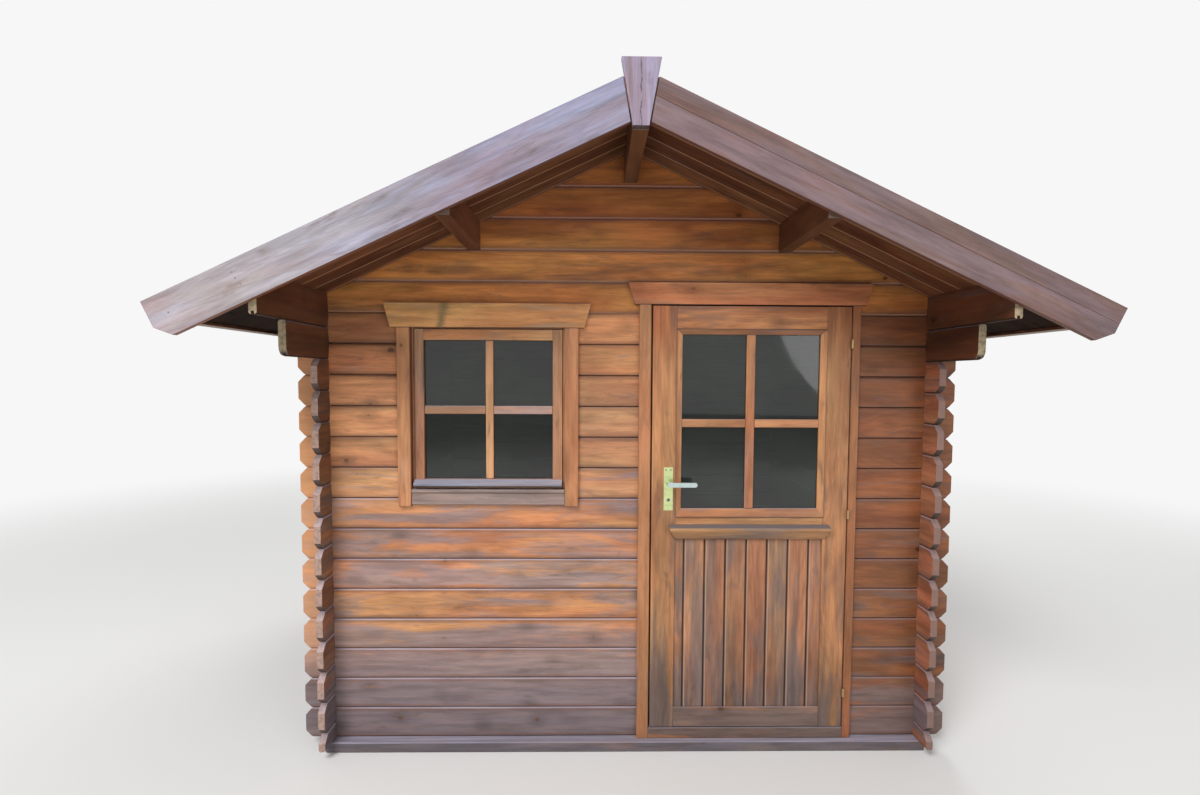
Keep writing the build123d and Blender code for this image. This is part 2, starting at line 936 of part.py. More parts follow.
pieces = {
    "end_beams": end_beams(),
    "side_beams_and_joists": side_beams_and_joists(),
    "floor_boards": floor_boards(),
    "front_wall_lower": front_wall_lower(),
    "front_wall_beside_window": front_wall_beside_window(),
    "front_wall_right_of_door": front_wall_right_of_door(),
    "front_wall_over_door": front_wall_over_door(),
    "front_gable": front_gable(),
    "back_wall": back_wall(),
    "left_side_wall": side_wall(-1),
    "right_side_wall": side_wall(1),
    "corbel_logs": both_sides(corbel_log),
    "eave_logs": both_sides(eave_log),
    "roof_purlins": roof_purlins(),
    "left_roof_boards": roof_boards(-1),
    "right_roof_boards": roof_boards(1),
    "roof_felt": both_sides(felt_courses),
    "ridge_strip": ridge_strip(),
    "eave_fascias": both_sides(eave_fascia),
    "front_left_bargeboard": barge_part(-1, barge_bottom, barge_top, barge_front),
    "front_right_bargeboard": barge_part(1, barge_bottom, strip_bottom, barge_front),
    "front_right_barge_strip": barge_part(1, strip_bottom, barge_top, barge_front),
    "back_bargeboards": both_sides(back_bargeboard),
    "keystone_plates": keystone_plates(),
    "window_frame_jambs": window_frame_jambs(),
    "window_frame_rails": window_frame_rails(),
    "window_sash_stiles": window_sash_stiles(),
    "window_sash_rails": window_sash_rails(),
    "window_weather_bar": window_weather_bar(),
    "window_glass": window_glass(),
    "window_side_casings": window_side_casings(),
    "window_top_casing": window_top_casing(),
    "window_bottom_board": window_bottom_board(),
    "door_jambs": door_jambs(),
    "door_head_and_threshold": door_head_and_threshold(),
    "door_header_trim": door_header_trim(),
    "door_stiles": door_stiles(),
    "door_rails": door_rails(),
    "door_panel": door_panel(),
    "door_glass": door_glass(),
    "door_drip_moulding": door_drip_moulding(),
    "leaf_hinges": leaf_hinges(),
    "frame_hinges": frame_hinges(),
    "handle_plates": handle_plates(),
    "door_lever": door_lever(),
}

os.makedirs("parts", exist_ok=True)
for name, shape in pieces.items():
    export_step(shape, "parts/" + name + ".step")
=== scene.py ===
import math
import random

import bmesh
import bpy
from mathutils import Matrix, Vector


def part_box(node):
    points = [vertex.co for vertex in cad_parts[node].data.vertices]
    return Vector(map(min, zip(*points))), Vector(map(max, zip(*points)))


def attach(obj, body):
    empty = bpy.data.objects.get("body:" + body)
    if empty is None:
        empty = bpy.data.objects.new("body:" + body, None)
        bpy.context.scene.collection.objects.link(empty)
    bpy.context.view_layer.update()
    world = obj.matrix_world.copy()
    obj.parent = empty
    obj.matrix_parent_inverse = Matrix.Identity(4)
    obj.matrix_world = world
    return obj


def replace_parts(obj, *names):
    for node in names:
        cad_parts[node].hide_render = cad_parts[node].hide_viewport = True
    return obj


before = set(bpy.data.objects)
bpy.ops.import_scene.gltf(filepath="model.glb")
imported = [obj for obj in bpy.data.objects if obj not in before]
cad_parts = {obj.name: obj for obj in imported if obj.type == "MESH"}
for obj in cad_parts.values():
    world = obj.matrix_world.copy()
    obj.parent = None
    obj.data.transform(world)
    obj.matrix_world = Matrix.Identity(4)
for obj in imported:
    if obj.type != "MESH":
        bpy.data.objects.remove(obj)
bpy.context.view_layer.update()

MM = 0.001
PLANE_STEP = 1e-5
FLAT_ANGLE = math.radians(1)

# Places worked out from the frame
lower_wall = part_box("front_wall_lower")
LOGS_UNDER_WINDOW = 8
log_height = (lower_wall[1].z - lower_wall[0].z) / LOGS_UNDER_WINDOW
beam_top = lower_wall[0].z
wall_front = lower_wall[0].y
leaf_low, leaf_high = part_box("door_stiles")
leaf_front = leaf_low.y
leaf_back = leaf_high.y
sash_low, sash_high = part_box("window_sash_stiles")
barge_low, barge_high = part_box("front_left_bargeboard")
ROOF_PITCH = math.radians(25)


def boards(bm):
    """The faces of each separate solid of a mesh, in the mesh's own order."""
    bm.faces.ensure_lookup_table()
    bm.faces.index_update()
    seen = set()
    for first in bm.faces:
        if first.index in seen:
            continue
        seen.add(first.index)
        found = [first]
        for face in found:
            for edge in face.edges:
                for other in edge.link_faces:
                    if other.index not in seen:
                        seen.add(other.index)
                        found.append(other)
        yield found


def cad_mesh(node):
    """A working copy of a CAD node's mesh, with its flat faces whole again."""
    bm = bmesh.new()
    bm.from_mesh(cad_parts[node].data)
    bmesh.ops.remove_doubles(bm, verts=bm.verts, dist=PLANE_STEP)
    bmesh.ops.dissolve_limit(bm, angle_limit=FLAT_ANGLE, verts=bm.verts, edges=bm.edges)
    return bm


def saw(bm, axis, places):
    """Saws a closed mesh into separate closed boards at planes across an axis."""
    normal = Vector((axis == "x", axis == "y", axis == "z"))
    for place in places:
        everything = bm.verts[:] + bm.edges[:] + bm.faces[:]
        cut = bmesh.ops.bisect_plane(bm, geom=everything, dist=PLANE_STEP, plane_co=normal * place,
                                     plane_no=normal)
        edges = [item for item in cut["geom_cut"] if isinstance(item, bmesh.types.BMEdge)]
        if edges:
            bmesh.ops.split_edges(bm, edges=edges)
            bmesh.ops.holes_fill(bm, edges=[edge for edge in bm.edges if edge.is_boundary])


# Directions of the grain: each gives a point's place along the board, across it and into it


def grain_x(point):
    return Vector((point.x, point.z, point.y))


def grain_y(point):
    return Vector((point.y, point.z, point.x))


def grain_z(point):
    return Vector((point.z, point.x, point.y))


def grain_slope(point):
    """Down one slope of the roof."""
    out = abs(point.x)
    along = out * math.cos(ROOF_PITCH) - point.z * math.sin(ROOF_PITCH)
    across = out * math.sin(ROOF_PITCH) + point.z * math.cos(ROOF_PITCH)
    return Vector((along, across, point.y))


END_SLANT = 0.6
GRAIN_SHIFTS = (60, 20, 20)


def mark_grain(bm, grain, dice):
    """Writes each board's own grain place, tone and end faces into the mesh."""
    place = bm.verts.layers.float_vector.new("grain")
    tone = bm.faces.layers.float.new("tone")
    end = bm.faces.layers.float.new("end")
    for faces in boards(bm):
        shift = Vector([dice.uniform(0, reach) for reach in GRAIN_SHIFTS])
        board_tone = dice.random()
        for face in faces:
            face.normal_update()
            middle = face.calc_center_median()
            step = grain(middle + face.normal * MM) - grain(middle)
            face[end] = 1.0 if abs(step.x) > END_SLANT * MM else 0.0
            face[tone] = board_tone
            for vert in face.verts:
                vert[place] = grain(vert.co) + shift


def add_object(name, data):
    made = bpy.data.objects.new(name, data)
    bpy.context.scene.collection.objects.link(made)
    return made


EASE_SEGMENTS = 2
EASE_ANGLE = math.radians(25)


def finish_mesh(bm, name, material, body, slot, round_edges):
    """Makes the object from a mesh, with its edges eased, and puts it on its body."""
    bmesh.ops.recalc_face_normals(bm, faces=bm.faces)
    data = bpy.data.meshes.new(name)
    bm.to_mesh(data)
    bm.free()
    piece = add_object(name, data)
    data.materials.append(material)
    if round_edges:
        for polygon in data.polygons:
            polygon.use_smooth = True
        eased = piece.modifiers.new("eased edges", "BEVEL")
        eased.width = round_edges
        eased.segments = EASE_SEGMENTS
        eased.limit_method = "ANGLE"
        eased.angle_limit = EASE_ANGLE
        flat = piece.modifiers.new("flat faces", "WEIGHTED_NORMAL")
        flat.keep_sharp = True
    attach(piece, body)
    return piece


def dress(nodes, name, material, slot, grain, body="shed", axis=None, cuts=(), ease=2 * MM):
    """Boards with eased edges and a grain of their own, in the place of CAD nodes."""
    whole = bmesh.new()
    for node in nodes:
        bm = cad_mesh(node)
        if axis:
            saw(bm, axis, cuts)
        data = bpy.data.meshes.new("sawn")
        bm.to_mesh(data)
        bm.free()
        whole.from_mesh(data)
        bpy.data.meshes.remove(data)
    bmesh.ops.recalc_face_normals(whole, faces=whole.faces)
    mark_grain(whole, grain, random.Random(name))
    piece = finish_mesh(whole, name, material, body, slot, ease)
    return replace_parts(piece, *nodes)


# Materials


def scaled(colour, amount):
    return tuple(channel * amount for channel in colour)


# A colour mix's sockets, by number because several have the same name
MIX_SHARE, MIX_FIRST, MIX_SECOND, MIX_RESULT = 0, 6, 7, 2


class Nodes:
    """A node tree, built by short calls."""

    def __init__(self, tree):
        self.tree = tree

    def node(self, kind, inputs=(), **settings):
        made = self.tree.nodes.new(kind)
        for key, value in settings.items():
            setattr(made, key, value)
        for key, value in dict(inputs).items():
            self.put(made, key, value)
        return made

    def put(self, node, key, value):
        socket = node.inputs[key]
        if isinstance(value, bpy.types.NodeSocket):
            self.tree.links.new(value, socket)
        elif isinstance(value, (tuple, list)) and len(value) == 3 and socket.type == "RGBA":
            socket.default_value = (*value, 1.0)
        else:
            socket.default_value = value

    def math(self, operation, first, second=0.0):
        return self.node("ShaderNodeMath", {0: first, 1: second}, operation=operation).outputs[0]

    def product(self, first, *others):
        for other in others:
            first = self.math("MULTIPLY", first, other)
        return first

    def total(self, first, *others):
        for other in others:
            first = self.math("ADD", first, other)
        return first

    def vector(self, operation, first, second):
        return self.node("ShaderNodeVectorMath", {0: first, 1: second}, operation=operation).outputs[0]

    def length(self, vector):
        return self.node("ShaderNodeVectorMath", {0: vector}, operation="LENGTH").outputs["Value"]

    def noise(self, vector, scale=1.0, detail=2.0, roughness=0.5, distortion=0.0):
        inputs = {"Vector": vector, "Scale": scale, "Detail": detail, "Roughness": roughness,
                  "Distortion": distortion}
        return self.node("ShaderNodeTexNoise", inputs).outputs["Fac"]

    def remap(self, value, low, high, to_low=0.0, to_high=1.0):
        inputs = {0: value, 1: low, 2: high, 3: to_low, 4: to_high}
        made = self.node("ShaderNodeMapRange", inputs, interpolation_type="SMOOTHSTEP")
        return made.outputs[0]

    def mix(self, share, first, second, blend="MIX"):
        inputs = {MIX_SHARE: share, MIX_FIRST: first, MIX_SECOND: second}
        made = self.node("ShaderNodeMix", inputs, data_type="RGBA", blend_type=blend)
        return made.outputs[MIX_RESULT]

    def scale(self, colour, amount):
        """A colour made lighter or darker."""
        grey = self.node("ShaderNodeCombineColor", {0: amount, 1: amount, 2: amount})
        return self.mix(1.0, colour, grey.outputs[0], "MULTIPLY")

    def bump(self, height, strength, depth):
        inputs = {"Height": height, "Strength": strength, "Distance": depth}
        return self.node("ShaderNodeBump", inputs).outputs[0]

    def place(self):
        return self.node("ShaderNodeTexCoord").outputs["Object"]

    def parts(self, vector):
        return self.node("ShaderNodeSeparateXYZ", {0: vector}).outputs

    def along(self, axis):
        return self.parts(self.place())["XYZ".index(axis)]

    def facing_up(self):
        return self.parts(self.node("ShaderNodeNewGeometry").outputs["Normal"])[2]

    def attribute(self, name, output):
        return self.node("ShaderNodeAttribute", attribute_name=name).outputs[output]


class Shading(Nodes):
    """A material and the nodes of its surface."""

    def __init__(self, name):
        self.material = bpy.data.materials.new(name)
        self.material.use_nodes = True
        super().__init__(self.material.node_tree)
        self.surface = self.tree.nodes["Principled BSDF"]

    def base_colour(self):
        return self.surface.inputs["Base Color"].links[0].from_socket

    def paint(self, colour):
        self.put(self.surface, "Base Color", colour)

    def cover(self, share, colour):
        self.paint(self.mix(share, self.base_colour(), colour))

    def shade(self, amount):
        self.paint(self.scale(self.base_colour(), amount))

    def tint(self, share, tint):
        """Multiplies the base colour by a tint, as far as the share says."""
        self.paint(self.mix(1.0, self.base_colour(), self.mix(share, WHITE, tint), "MULTIPLY"))


# Colours that several woods share, and tints that a colour is multiplied by
SMUDGE = (0.10, 0.07, 0.06)
# The pale lavender below is a painted reflection of the sky on faces that look up
SKY_SHEEN = (0.50, 0.46, 0.57)
DAMP_GREY = (0.15, 0.13, 0.155)
END_GRAIN = (0.27, 0.19, 0.15)
WHITE = (1.0, 1.0, 1.0)
REDDER = (1.04, 0.93, 0.88)
YELLOWER = (0.98, 1.06, 0.97)

# Patterns in wood: waves a metre along the board and across it, then detail, roughness, distortion
FINE_FIBRES = (6, 420, 3, 0.6)
FIBRES = (2.6, 60, 4, 0.6)
BLOTCHES = (2.4, 9, 4, 0.55, 0.3)
WARM_PARTS = (1.3, 6, 3)
WORN_PATCHES = (1.9, 13, 5, 0.62, 0.5)
SMUDGES = (5.5, 22, 4, 0.6, 0.6)
MOTTLING = (4, 36, 4, 0.65)
CRACKS = (2.2, 190, 2, 0.5)
RING_FIELD = (0.5, 7, 1.2, 0.4)
RING_WAVER = (7, 34, 3)
END_SPOTS = (40, 90, 4, 0.6)


def streaks(s, grain, pattern):
    """Noise that is drawn out along the board."""
    along, across, *settings = pattern
    return s.noise(s.vector("MULTIPLY", grain, (along, across, across)), 1, *settings)


KNOT_CELL = (3.0, 8.0)
KNOT_SPREAD = 0.85
KNOT_SQUEEZE = (0.7, 1.0, 0.35)
KNOT_RADII = (6 * MM, 13.5 * MM)
KNOT_EDGE = 2.5 * MM
KNOT_WOBBLE = 6 * MM
HALO_RADIUS = 50 * MM


def find_knots(s, grain, presence):
    """Where the knots are and where the grain bends round them, one in some cells of a long grid."""
    along, across = KNOT_CELL
    place = s.vector("MULTIPLY", grain, (along, across, across))
    found = s.node("ShaderNodeTexVoronoi", {"Vector": place, "Scale": 1.0, "Randomness": KNOT_SPREAD})
    offset = s.vector("SUBTRACT", place, found.outputs["Position"])
    to_metres = (KNOT_SQUEEZE[0] / along, KNOT_SQUEEZE[1] / across, KNOT_SQUEEZE[2] / across)
    wobble = s.product(s.noise(grain, scale=60), KNOT_WOBBLE)
    distance = s.total(s.length(s.vector("MULTIPLY", offset, to_metres)), wobble)
    draw = s.node("ShaderNodeSeparateColor", {0: found.outputs["Color"]})
    there = s.math("LESS_THAN", draw.outputs[0], presence)
    size = s.remap(draw.outputs[1], 0, 1, *KNOT_RADII)
    knot = s.product(s.remap(s.math("SUBTRACT", distance, size), KNOT_EDGE, -KNOT_EDGE), there)
    halo = s.product(s.remap(distance, HALO_RADIUS, KNOT_RADII[0]), there)
    return knot, halo


RING_LINES = 300
HALO_LIFT = 0.14
WAVER_LIFT = 0.02


def growth_rings(s, grain, halo):
    """Level lines of a field that is drawn out along the board and bulges at the knots."""
    field = s.total(streaks(s, grain, RING_FIELD), s.product(halo, HALO_LIFT))
    field = s.total(field, s.product(streaks(s, grain, RING_WAVER), WAVER_LIFT))
    return s.remap(s.math("SINE", s.product(field, RING_LINES)), 0.1, 1.0)


room_low, room_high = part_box("floor_boards")
ROOM_EDGE = 4 * MM
SPLASH = (0.62, 0.12)
SHELTER = (1.25, 1.0)


def exposure(s, high_share):
    """How near the ground a place outside the room is, and how open it is to the sky: how much weathering it
    gets and how much painted sky reflection.
    """
    x, y, z = s.parts(s.place())
    outside = 0.0
    for place, low, high in ((x, room_low.x, room_high.x), (y, room_low.y, room_high.y)):
        away = s.math("ABSOLUTE", s.math("SUBTRACT", place, (low + high) / 2))
        half = (high - low) / 2
        outside = s.math("MAXIMUM", outside, s.remap(away, half + ROOM_EDGE, half + 2 * ROOM_EDGE))
    near_ground = s.product(outside, s.remap(z, *SPLASH))
    open_to_sky = s.product(outside, s.remap(z, *SHELTER, high_share, 1.0))
    return near_ground, open_to_sky


FULL_PART = 0.3


def grooves(s, axis, first, spacing, half_width):
    """How near a point is to the nearest of a row of joints, 1 in the joint and 0 outside it."""
    count = s.math("DIVIDE", s.math("SUBTRACT", s.along(axis), first), spacing)
    part = s.math("ABSOLUTE", s.math("SUBTRACT", s.math("FRACT", s.total(count, 0.5)), 0.5))
    return s.remap(part, half_width / spacing, FULL_PART * half_width / spacing)


def draw_joints(s, colour, tint, strength, **row):
    """A colour with a row of joints drawn into it."""
    return s.mix(s.product(grooves(s, **row), strength), colour, tint)


LOG_HEART = (0.0, 0.03, 0.05)
ONLY_ACROSS = (0.0, 1.0, 1.0)
END_RING_LINES = 1300


def end_grain(s, grain, light, worn):
    """Sawn ends, with rings about the heart of the log."""
    heart = s.vector("MULTIPLY", s.vector("SUBTRACT", grain, LOG_HEART), ONLY_ACROSS)
    circle = s.math("SINE", s.product(s.length(heart), END_RING_LINES))
    colour = s.mix(s.remap(circle, -0.4, 1, 0, 0.5), light, scaled(light, 0.5))
    return s.mix(s.remap(streaks(s, grain, END_SPOTS), 0.4, 0.7, 0, 0.7), colour, worn)


def glaze(s, grain, light, deep, ring, fibre, rings, fibres):
    """The glaze before it wears: blotches, rings, fibres, and redder and yellower parts."""
    blotch = streaks(s, grain, BLOTCHES)
    colour = s.mix(s.remap(blotch, 0.36, 0.70, 0.0, 0.75), light, deep)
    colour = s.mix(s.product(ring, s.remap(blotch, 0.35, 0.6, 0.4 * rings, rings)), colour, deep)
    colour = s.mix(s.remap(fibre, 0.42, 0.72, 0, fibres), colour, deep)
    warmth = s.remap(streaks(s, grain, WARM_PARTS), 0.35, 0.65)
    return s.mix(1.0, colour, s.mix(warmth, REDDER, YELLOWER), "MULTIPLY")


UNWORN_LEVEL = 0.74
WEAR_REACH = 0.48
WEAR_BY_TONE = 0.16
WEAR_EDGE = 0.10
KNOT_DARK = 0.85
END_SHOWS = 0.9
RELIEF_SHARE = 0.45
RELIEF_DEPTH = 1.2 * MM
WOOD_GLOSS = 0.35


def wood(name, light, deep, worn, wear=0.4, low_wear=0.0, high_share=1.0, rings=0.35, fibres=0.3,
         knots=0.5, sky_sheen=0.6, shade_below=0.75, rough=0.48, end_light=END_GRAIN, low_dark=1.0,
         damp=0.9, joints=None, below=None):
    """Glazed softwood: rings, fibres, knots, worn places and end grain, with painted sky reflection on
    upper edges and painted shade on lower ones.

    light and deep are the glaze's colours and worn is that of bare wood. wear is the worn share
    of a board, low_wear what is added to it near the ground, and high_share what is left of
    weathering and of painted sky reflection above the window sill. rings, fibres and knots say how
    much of each there is, and the argument after knots how strong the painted sky reflection is.
    low_dark is how dark the wood gets near the ground and damp how grey its worn places are
    there. end_light is the colour of sawn ends, below that of edges that look down, shade_below
    how much painted shade darkens these, rough the glaze's roughness, and joints what draw_joints takes.
    """
    s = Shading(name)
    grain = s.attribute("grain", "Vector")
    tone = s.attribute("tone", "Fac")
    end = s.attribute("end", "Fac")
    near_ground, open_to_sky = exposure(s, high_share)
    knot, halo = find_knots(s, grain, knots)
    ring = growth_rings(s, grain, halo)
    fine = streaks(s, grain, FINE_FIBRES)
    fibre = streaks(s, grain, FIBRES)
    colour = glaze(s, grain, light, deep, ring, fibre, rings, fibres)

    # Worn places, more of them towards the ground
    share = s.total(s.product(open_to_sky, wear), s.product(near_ground, low_wear))
    share = s.total(share, s.product(s.math("SUBTRACT", tone, 0.5), WEAR_BY_TONE))
    level = s.math("SUBTRACT", UNWORN_LEVEL, s.product(share, WEAR_REACH))
    bare = s.remap(s.math("SUBTRACT", streaks(s, grain, WORN_PATCHES), level), -WEAR_EDGE, WEAR_EDGE)
    bare = s.product(bare, s.remap(near_ground, 0, 1, 0.82, 0.98))
    bare_colour = s.mix(s.product(near_ground, damp), worn, DAMP_GREY)
    bare_colour = s.mix(s.remap(fibre, 0.4, 0.75, 0.0, 0.5), bare_colour, scaled(worn, 0.6))
    colour = s.mix(s.product(bare, s.remap(fine, 0.3, 0.7, 1.0, 0.86)), colour, bare_colour)

    # Dark smudges, the knots, and each board's own tone
    colour = s.mix(s.remap(streaks(s, grain, SMUDGES), 0.58, 0.76, 0, 0.55), colour, SMUDGE)
    colour = s.scale(colour, s.math("SUBTRACT", 1.0, s.product(halo, 0.3)))
    colour = s.mix(s.product(knot, KNOT_DARK), colour, scaled(deep, 0.35))
    mottle = s.remap(streaks(s, grain, MOTTLING), 0.35, 0.68, 1.12, 0.78)
    shade = s.product(s.remap(tone, 0, 1, 0.88, 1.1), s.remap(near_ground, 0, 1, 1, low_dark))
    colour = s.scale(colour, s.product(shade, mottle))
    colour = s.mix(s.product(end, END_SHOWS), colour, end_grain(s, grain, end_light, worn))
    if joints:
        colour = draw_joints(s, colour, **joints)

    # Painted sky reflection on what faces up, less on sawn ends, and painted shade on what faces down
    up = s.facing_up()
    pale = s.product(s.remap(up, 0.35, 0.75), s.remap(fibre, 0.3, 0.65, 1.0, 0.55))
    pale = s.product(pale, s.product(open_to_sky, sky_sheen), s.remap(end, 0, 1, 1, 0.4))
    colour = s.mix(pale, colour, SKY_SHEEN)
    if below:
        colour = s.mix(s.remap(up, -0.4, -0.7), colour, below)
    s.paint(s.scale(colour, s.remap(up, -0.3, -0.7, 1, 1 - shade_below)))

    crack = s.remap(streaks(s, grain, CRACKS), 0.30, 0.24)
    relief = s.total(s.product(ring, -0.25), s.product(fine, 0.6), s.product(crack, -1.2),
                     s.product(knot, 0.5))
    s.put(s.surface, "Normal", s.bump(relief, RELIEF_SHARE, RELIEF_DEPTH))
    s.put(s.surface, "Roughness", s.remap(bare, 0, 1, rough, rough + 0.2))
    s.put(s.surface, "Specular IOR Level", WOOD_GLOSS)
    return s


# Rows of joints that the woods show as soft lines, and single lines where pieces meet. The roof's
# pale lines are painted highlights, the rail ends plain dark joints, and the rest painted shade.

ROOF_BOARD = 96 * MM
PANEL_BOARD = 87.5 * MM
PANEL_FIRST_GROOVE = 0.234
CASING_WIDTH = 56 * MM
GLASS_EDGE = 8 * MM
ONLY_ONE = 5.0
roof_low, roof_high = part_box("left_roof_boards")
casing_low, casing_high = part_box("window_side_casings")
rails_low, rails_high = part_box("door_rails")


def pane_opening(node):
    """A glass node's box, and what can be seen of the pane in its rebate."""
    low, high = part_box(node)
    return low, high, (low.x + GLASS_EDGE, high.x - GLASS_EDGE, low.z + GLASS_EDGE, high.z - GLASS_EDGE)


door_pane_low, door_pane_high, door_opening = pane_opening("door_glass")
window_pane_low, window_pane_high, window_opening = pane_opening("window_glass")

# Wide dark bands along each log joint: painted shade in the grooves between the logs
front_row = dict(axis="Z", first=beam_top, spacing=log_height, half_width=22 * MM,
                 tint=(0.17, 0.075, 0.045), strength=0.5)
side_row = dict(axis="Z", first=beam_top + log_height / 2, spacing=log_height, half_width=22 * MM,
                tint=(0.10, 0.05, 0.035), strength=0.5)
# Pale lines at the roof boards' joints: painted highlights where the grooves catch the light
roof_row = dict(axis="Y", first=roof_low.y, spacing=ROOF_BOARD, half_width=5 * MM,
                tint=(0.36, 0.20, 0.11), strength=0.75)
# Dark lines in the door panel's grooves: painted shade
panel_row = dict(axis="X", first=PANEL_FIRST_GROOVE, spacing=PANEL_BOARD, half_width=7 * MM,
                 tint=(0.045, 0.028, 0.024), strength=0.8)
# Dark lines at the casing's inner edge, the sash's left edge and its top: painted shadow in the gaps
casing_edge = dict(axis="X", first=casing_low.x + CASING_WIDTH, spacing=ONLY_ONE, half_width=6 * MM,
                   tint=(0.13, 0.04, 0.02), strength=0.85)
sash_edge = dict(axis="X", first=sash_low.x, spacing=ONLY_ONE, half_width=9 * MM,
                 tint=(0.13, 0.045, 0.025), strength=0.85)
sash_top_edge = dict(axis="Z", first=sash_high.z, spacing=ONLY_ONE, half_width=6 * MM,
                     tint=(0.20, 0.08, 0.035), strength=0.8)
rail_ends = dict(axis="X", first=rails_low.x, spacing=rails_high.x - rails_low.x, half_width=3 * MM,
                 tint=(0.13, 0.065, 0.04), strength=0.7)
# Dark lines round the glazing beads: painted shadow at their proud edges and mitres
bead_edges = dict(axis="Z", first=door_opening[2], spacing=door_opening[3] - door_opening[2],
                  half_width=5 * MM, tint=(0.11, 0.05, 0.03), strength=0.8)
side_bead_edges = dict(axis="X", first=door_opening[0], spacing=door_opening[1] - door_opening[0],
                       half_width=4 * MM, tint=(0.15, 0.07, 0.04), strength=0.6)

# Plain woods

ORANGE = (0.66, 0.30, 0.135)
RUST = (0.38, 0.155, 0.075)
GREY_BROWN = (0.27, 0.22, 0.225)
BARGE_UNDERSIDE = (0.14, 0.06, 0.04)

back_wall_wood = wood("glazed_wall_back", ORANGE, RUST, GREY_BROWN, wear=0.35, low_wear=0.55,
                      high_share=0.5, low_dark=0.98, joints=front_row).material
# A darker copy of the front wall's wood right of the door: partly redder wood, partly painted shade
shaded_red_wall_wood = wood("glazed_wall_right", (0.28, 0.103, 0.041), (0.14, 0.048, 0.021), (0.17, 0.11, 0.09),
                     wear=0.3, low_wear=0.3, high_share=0.3, damp=0.3, sky_sheen=0.2, knots=0.7,
                     joints=front_row).material
# Lighter than the left side wall's wood: painted light on the right side wall
lit_right_side_wood = wood("glazed_side_right", (0.48, 0.19, 0.105), (0.21, 0.075, 0.042), (0.24, 0.13, 0.11),
                       wear=0.3, low_wear=0.3, high_share=0.7, sky_sheen=0.45, end_light=(0.22, 0.14, 0.115),
                       joints=side_row).material
eave_wood = wood("glazed_eave_log", (0.14, 0.055, 0.026), (0.06, 0.023, 0.013), (0.09, 0.06, 0.055),
                 wear=0.2, sky_sheen=0.5, end_light=(0.44, 0.35, 0.215)).material
trim_wood = wood("glazed_trim", (0.58, 0.275, 0.14), (0.38, 0.16, 0.07), (0.33, 0.25, 0.22), wear=0.15,
                 low_wear=0.3, knots=0.2, rings=0.3, fibres=0.4, joints=casing_edge).material
header_wood = wood("glazed_header", (0.50, 0.195, 0.085), (0.27, 0.09, 0.035), (0.25, 0.14, 0.09),
                   wear=0.2, knots=0.25, sky_sheen=0.3).material
sash_wood = wood("glazed_sash", (0.50, 0.26, 0.15), (0.29, 0.125, 0.065), (0.29, 0.215, 0.19),
                 wear=0.25, knots=0.1, rings=0.3, joints=sash_edge).material
sash_rail_wood = wood("glazed_sash_rails", (0.64, 0.33, 0.16), (0.42, 0.19, 0.08), (0.38, 0.25, 0.17),
                      wear=0.2, knots=0.1, rings=0.3, joints=sash_top_edge).material
door_bar_wood = wood("glazed_door_bars", (0.47, 0.21, 0.105), (0.27, 0.10, 0.045), (0.27, 0.17, 0.13),
                     wear=0.1, knots=0.1, rings=0.3, sky_sheen=0.3).material
bar_wood = wood("glazed_bars", (0.66, 0.33, 0.18), (0.46, 0.20, 0.10), GREY_BROWN, wear=0.25,
                knots=0.0, rings=0.2, sky_sheen=0.9).material
crossing_wood = wood("glazed_crossing_bars", (0.46, 0.25, 0.165), (0.36, 0.17, 0.10), (0.33, 0.235, 0.22),
                     wear=0.4, knots=0.0, rings=0.2, sky_sheen=0.9).material
bead_wood = wood("glazed_beads", (0.50, 0.235, 0.11), (0.29, 0.115, 0.05), (0.26, 0.19, 0.16), wear=0.25,
                 knots=0.0, rings=0.3, sky_sheen=0.8, joints=bead_edges).material
side_bead_wood = wood("glazed_side_beads", (0.52, 0.255, 0.12), (0.29, 0.12, 0.055), (0.26, 0.18, 0.14),
                      wear=0.2, knots=0.0, rings=0.3, joints=side_bead_edges).material
sill_wood = wood("worn_sill", (0.42, 0.23, 0.135), (0.22, 0.14, 0.11), (0.235, 0.19, 0.185), wear=0.55,
                 knots=0.05, sky_sheen=0.3).material
weather_bar_wood = wood("worn_weather_bar", (0.32, 0.30, 0.345), (0.235, 0.21, 0.235),
                        (0.30, 0.31, 0.395), wear=0.7, knots=0.05, sky_sheen=0.4).material
fascia_wood = wood("eave_fascia", (0.30, 0.14, 0.075), (0.16, 0.065, 0.035), (0.22, 0.16, 0.14), wear=0.3,
                   knots=0.3, shade_below=0.0, below=(0.34, 0.27, 0.22)).material
purlin_wood = wood("roof_beam", (0.17, 0.068, 0.033), (0.07, 0.025, 0.014), (0.11, 0.065, 0.055),
                   wear=0.15, knots=0.35, sky_sheen=0.1, shade_below=0.0, end_light=(0.16, 0.11, 0.09)).material
# Lavender-grey like the front boards: a painted sky reflection over dark-stained wood
back_barge_wood = wood("bare_board_back", (0.31, 0.27, 0.36), (0.21, 0.15, 0.17), (0.32, 0.31, 0.42),
                       wear=0.55, knots=0.2, rings=0.4, sky_sheen=0.35).material
# A darker, browner copy of the bargeboard's wood: painted shade on the right side
shaded_right_barge_wood = wood("shaded_board_right", (0.18, 0.105, 0.10), (0.105, 0.05, 0.042), (0.19, 0.135, 0.15),
                        wear=0.5, knots=0.2, sky_sheen=0.35, shade_below=0.0, below=BARGE_UNDERSIDE).material
beam_wood = wood("foundation", (0.27, 0.195, 0.185), (0.15, 0.11, 0.10), (0.24, 0.205, 0.22), wear=0.65,
                 knots=0.2, rough=0.65, sky_sheen=0.6, low_dark=0.8).material
floor_wood = wood("floor_boards", (0.52, 0.34, 0.18), (0.36, 0.20, 0.09), (0.30, 0.25, 0.21), wear=0.3,
                  sky_sheen=0.15, rough=0.6, damp=0.0).material

# Woods that change with the place

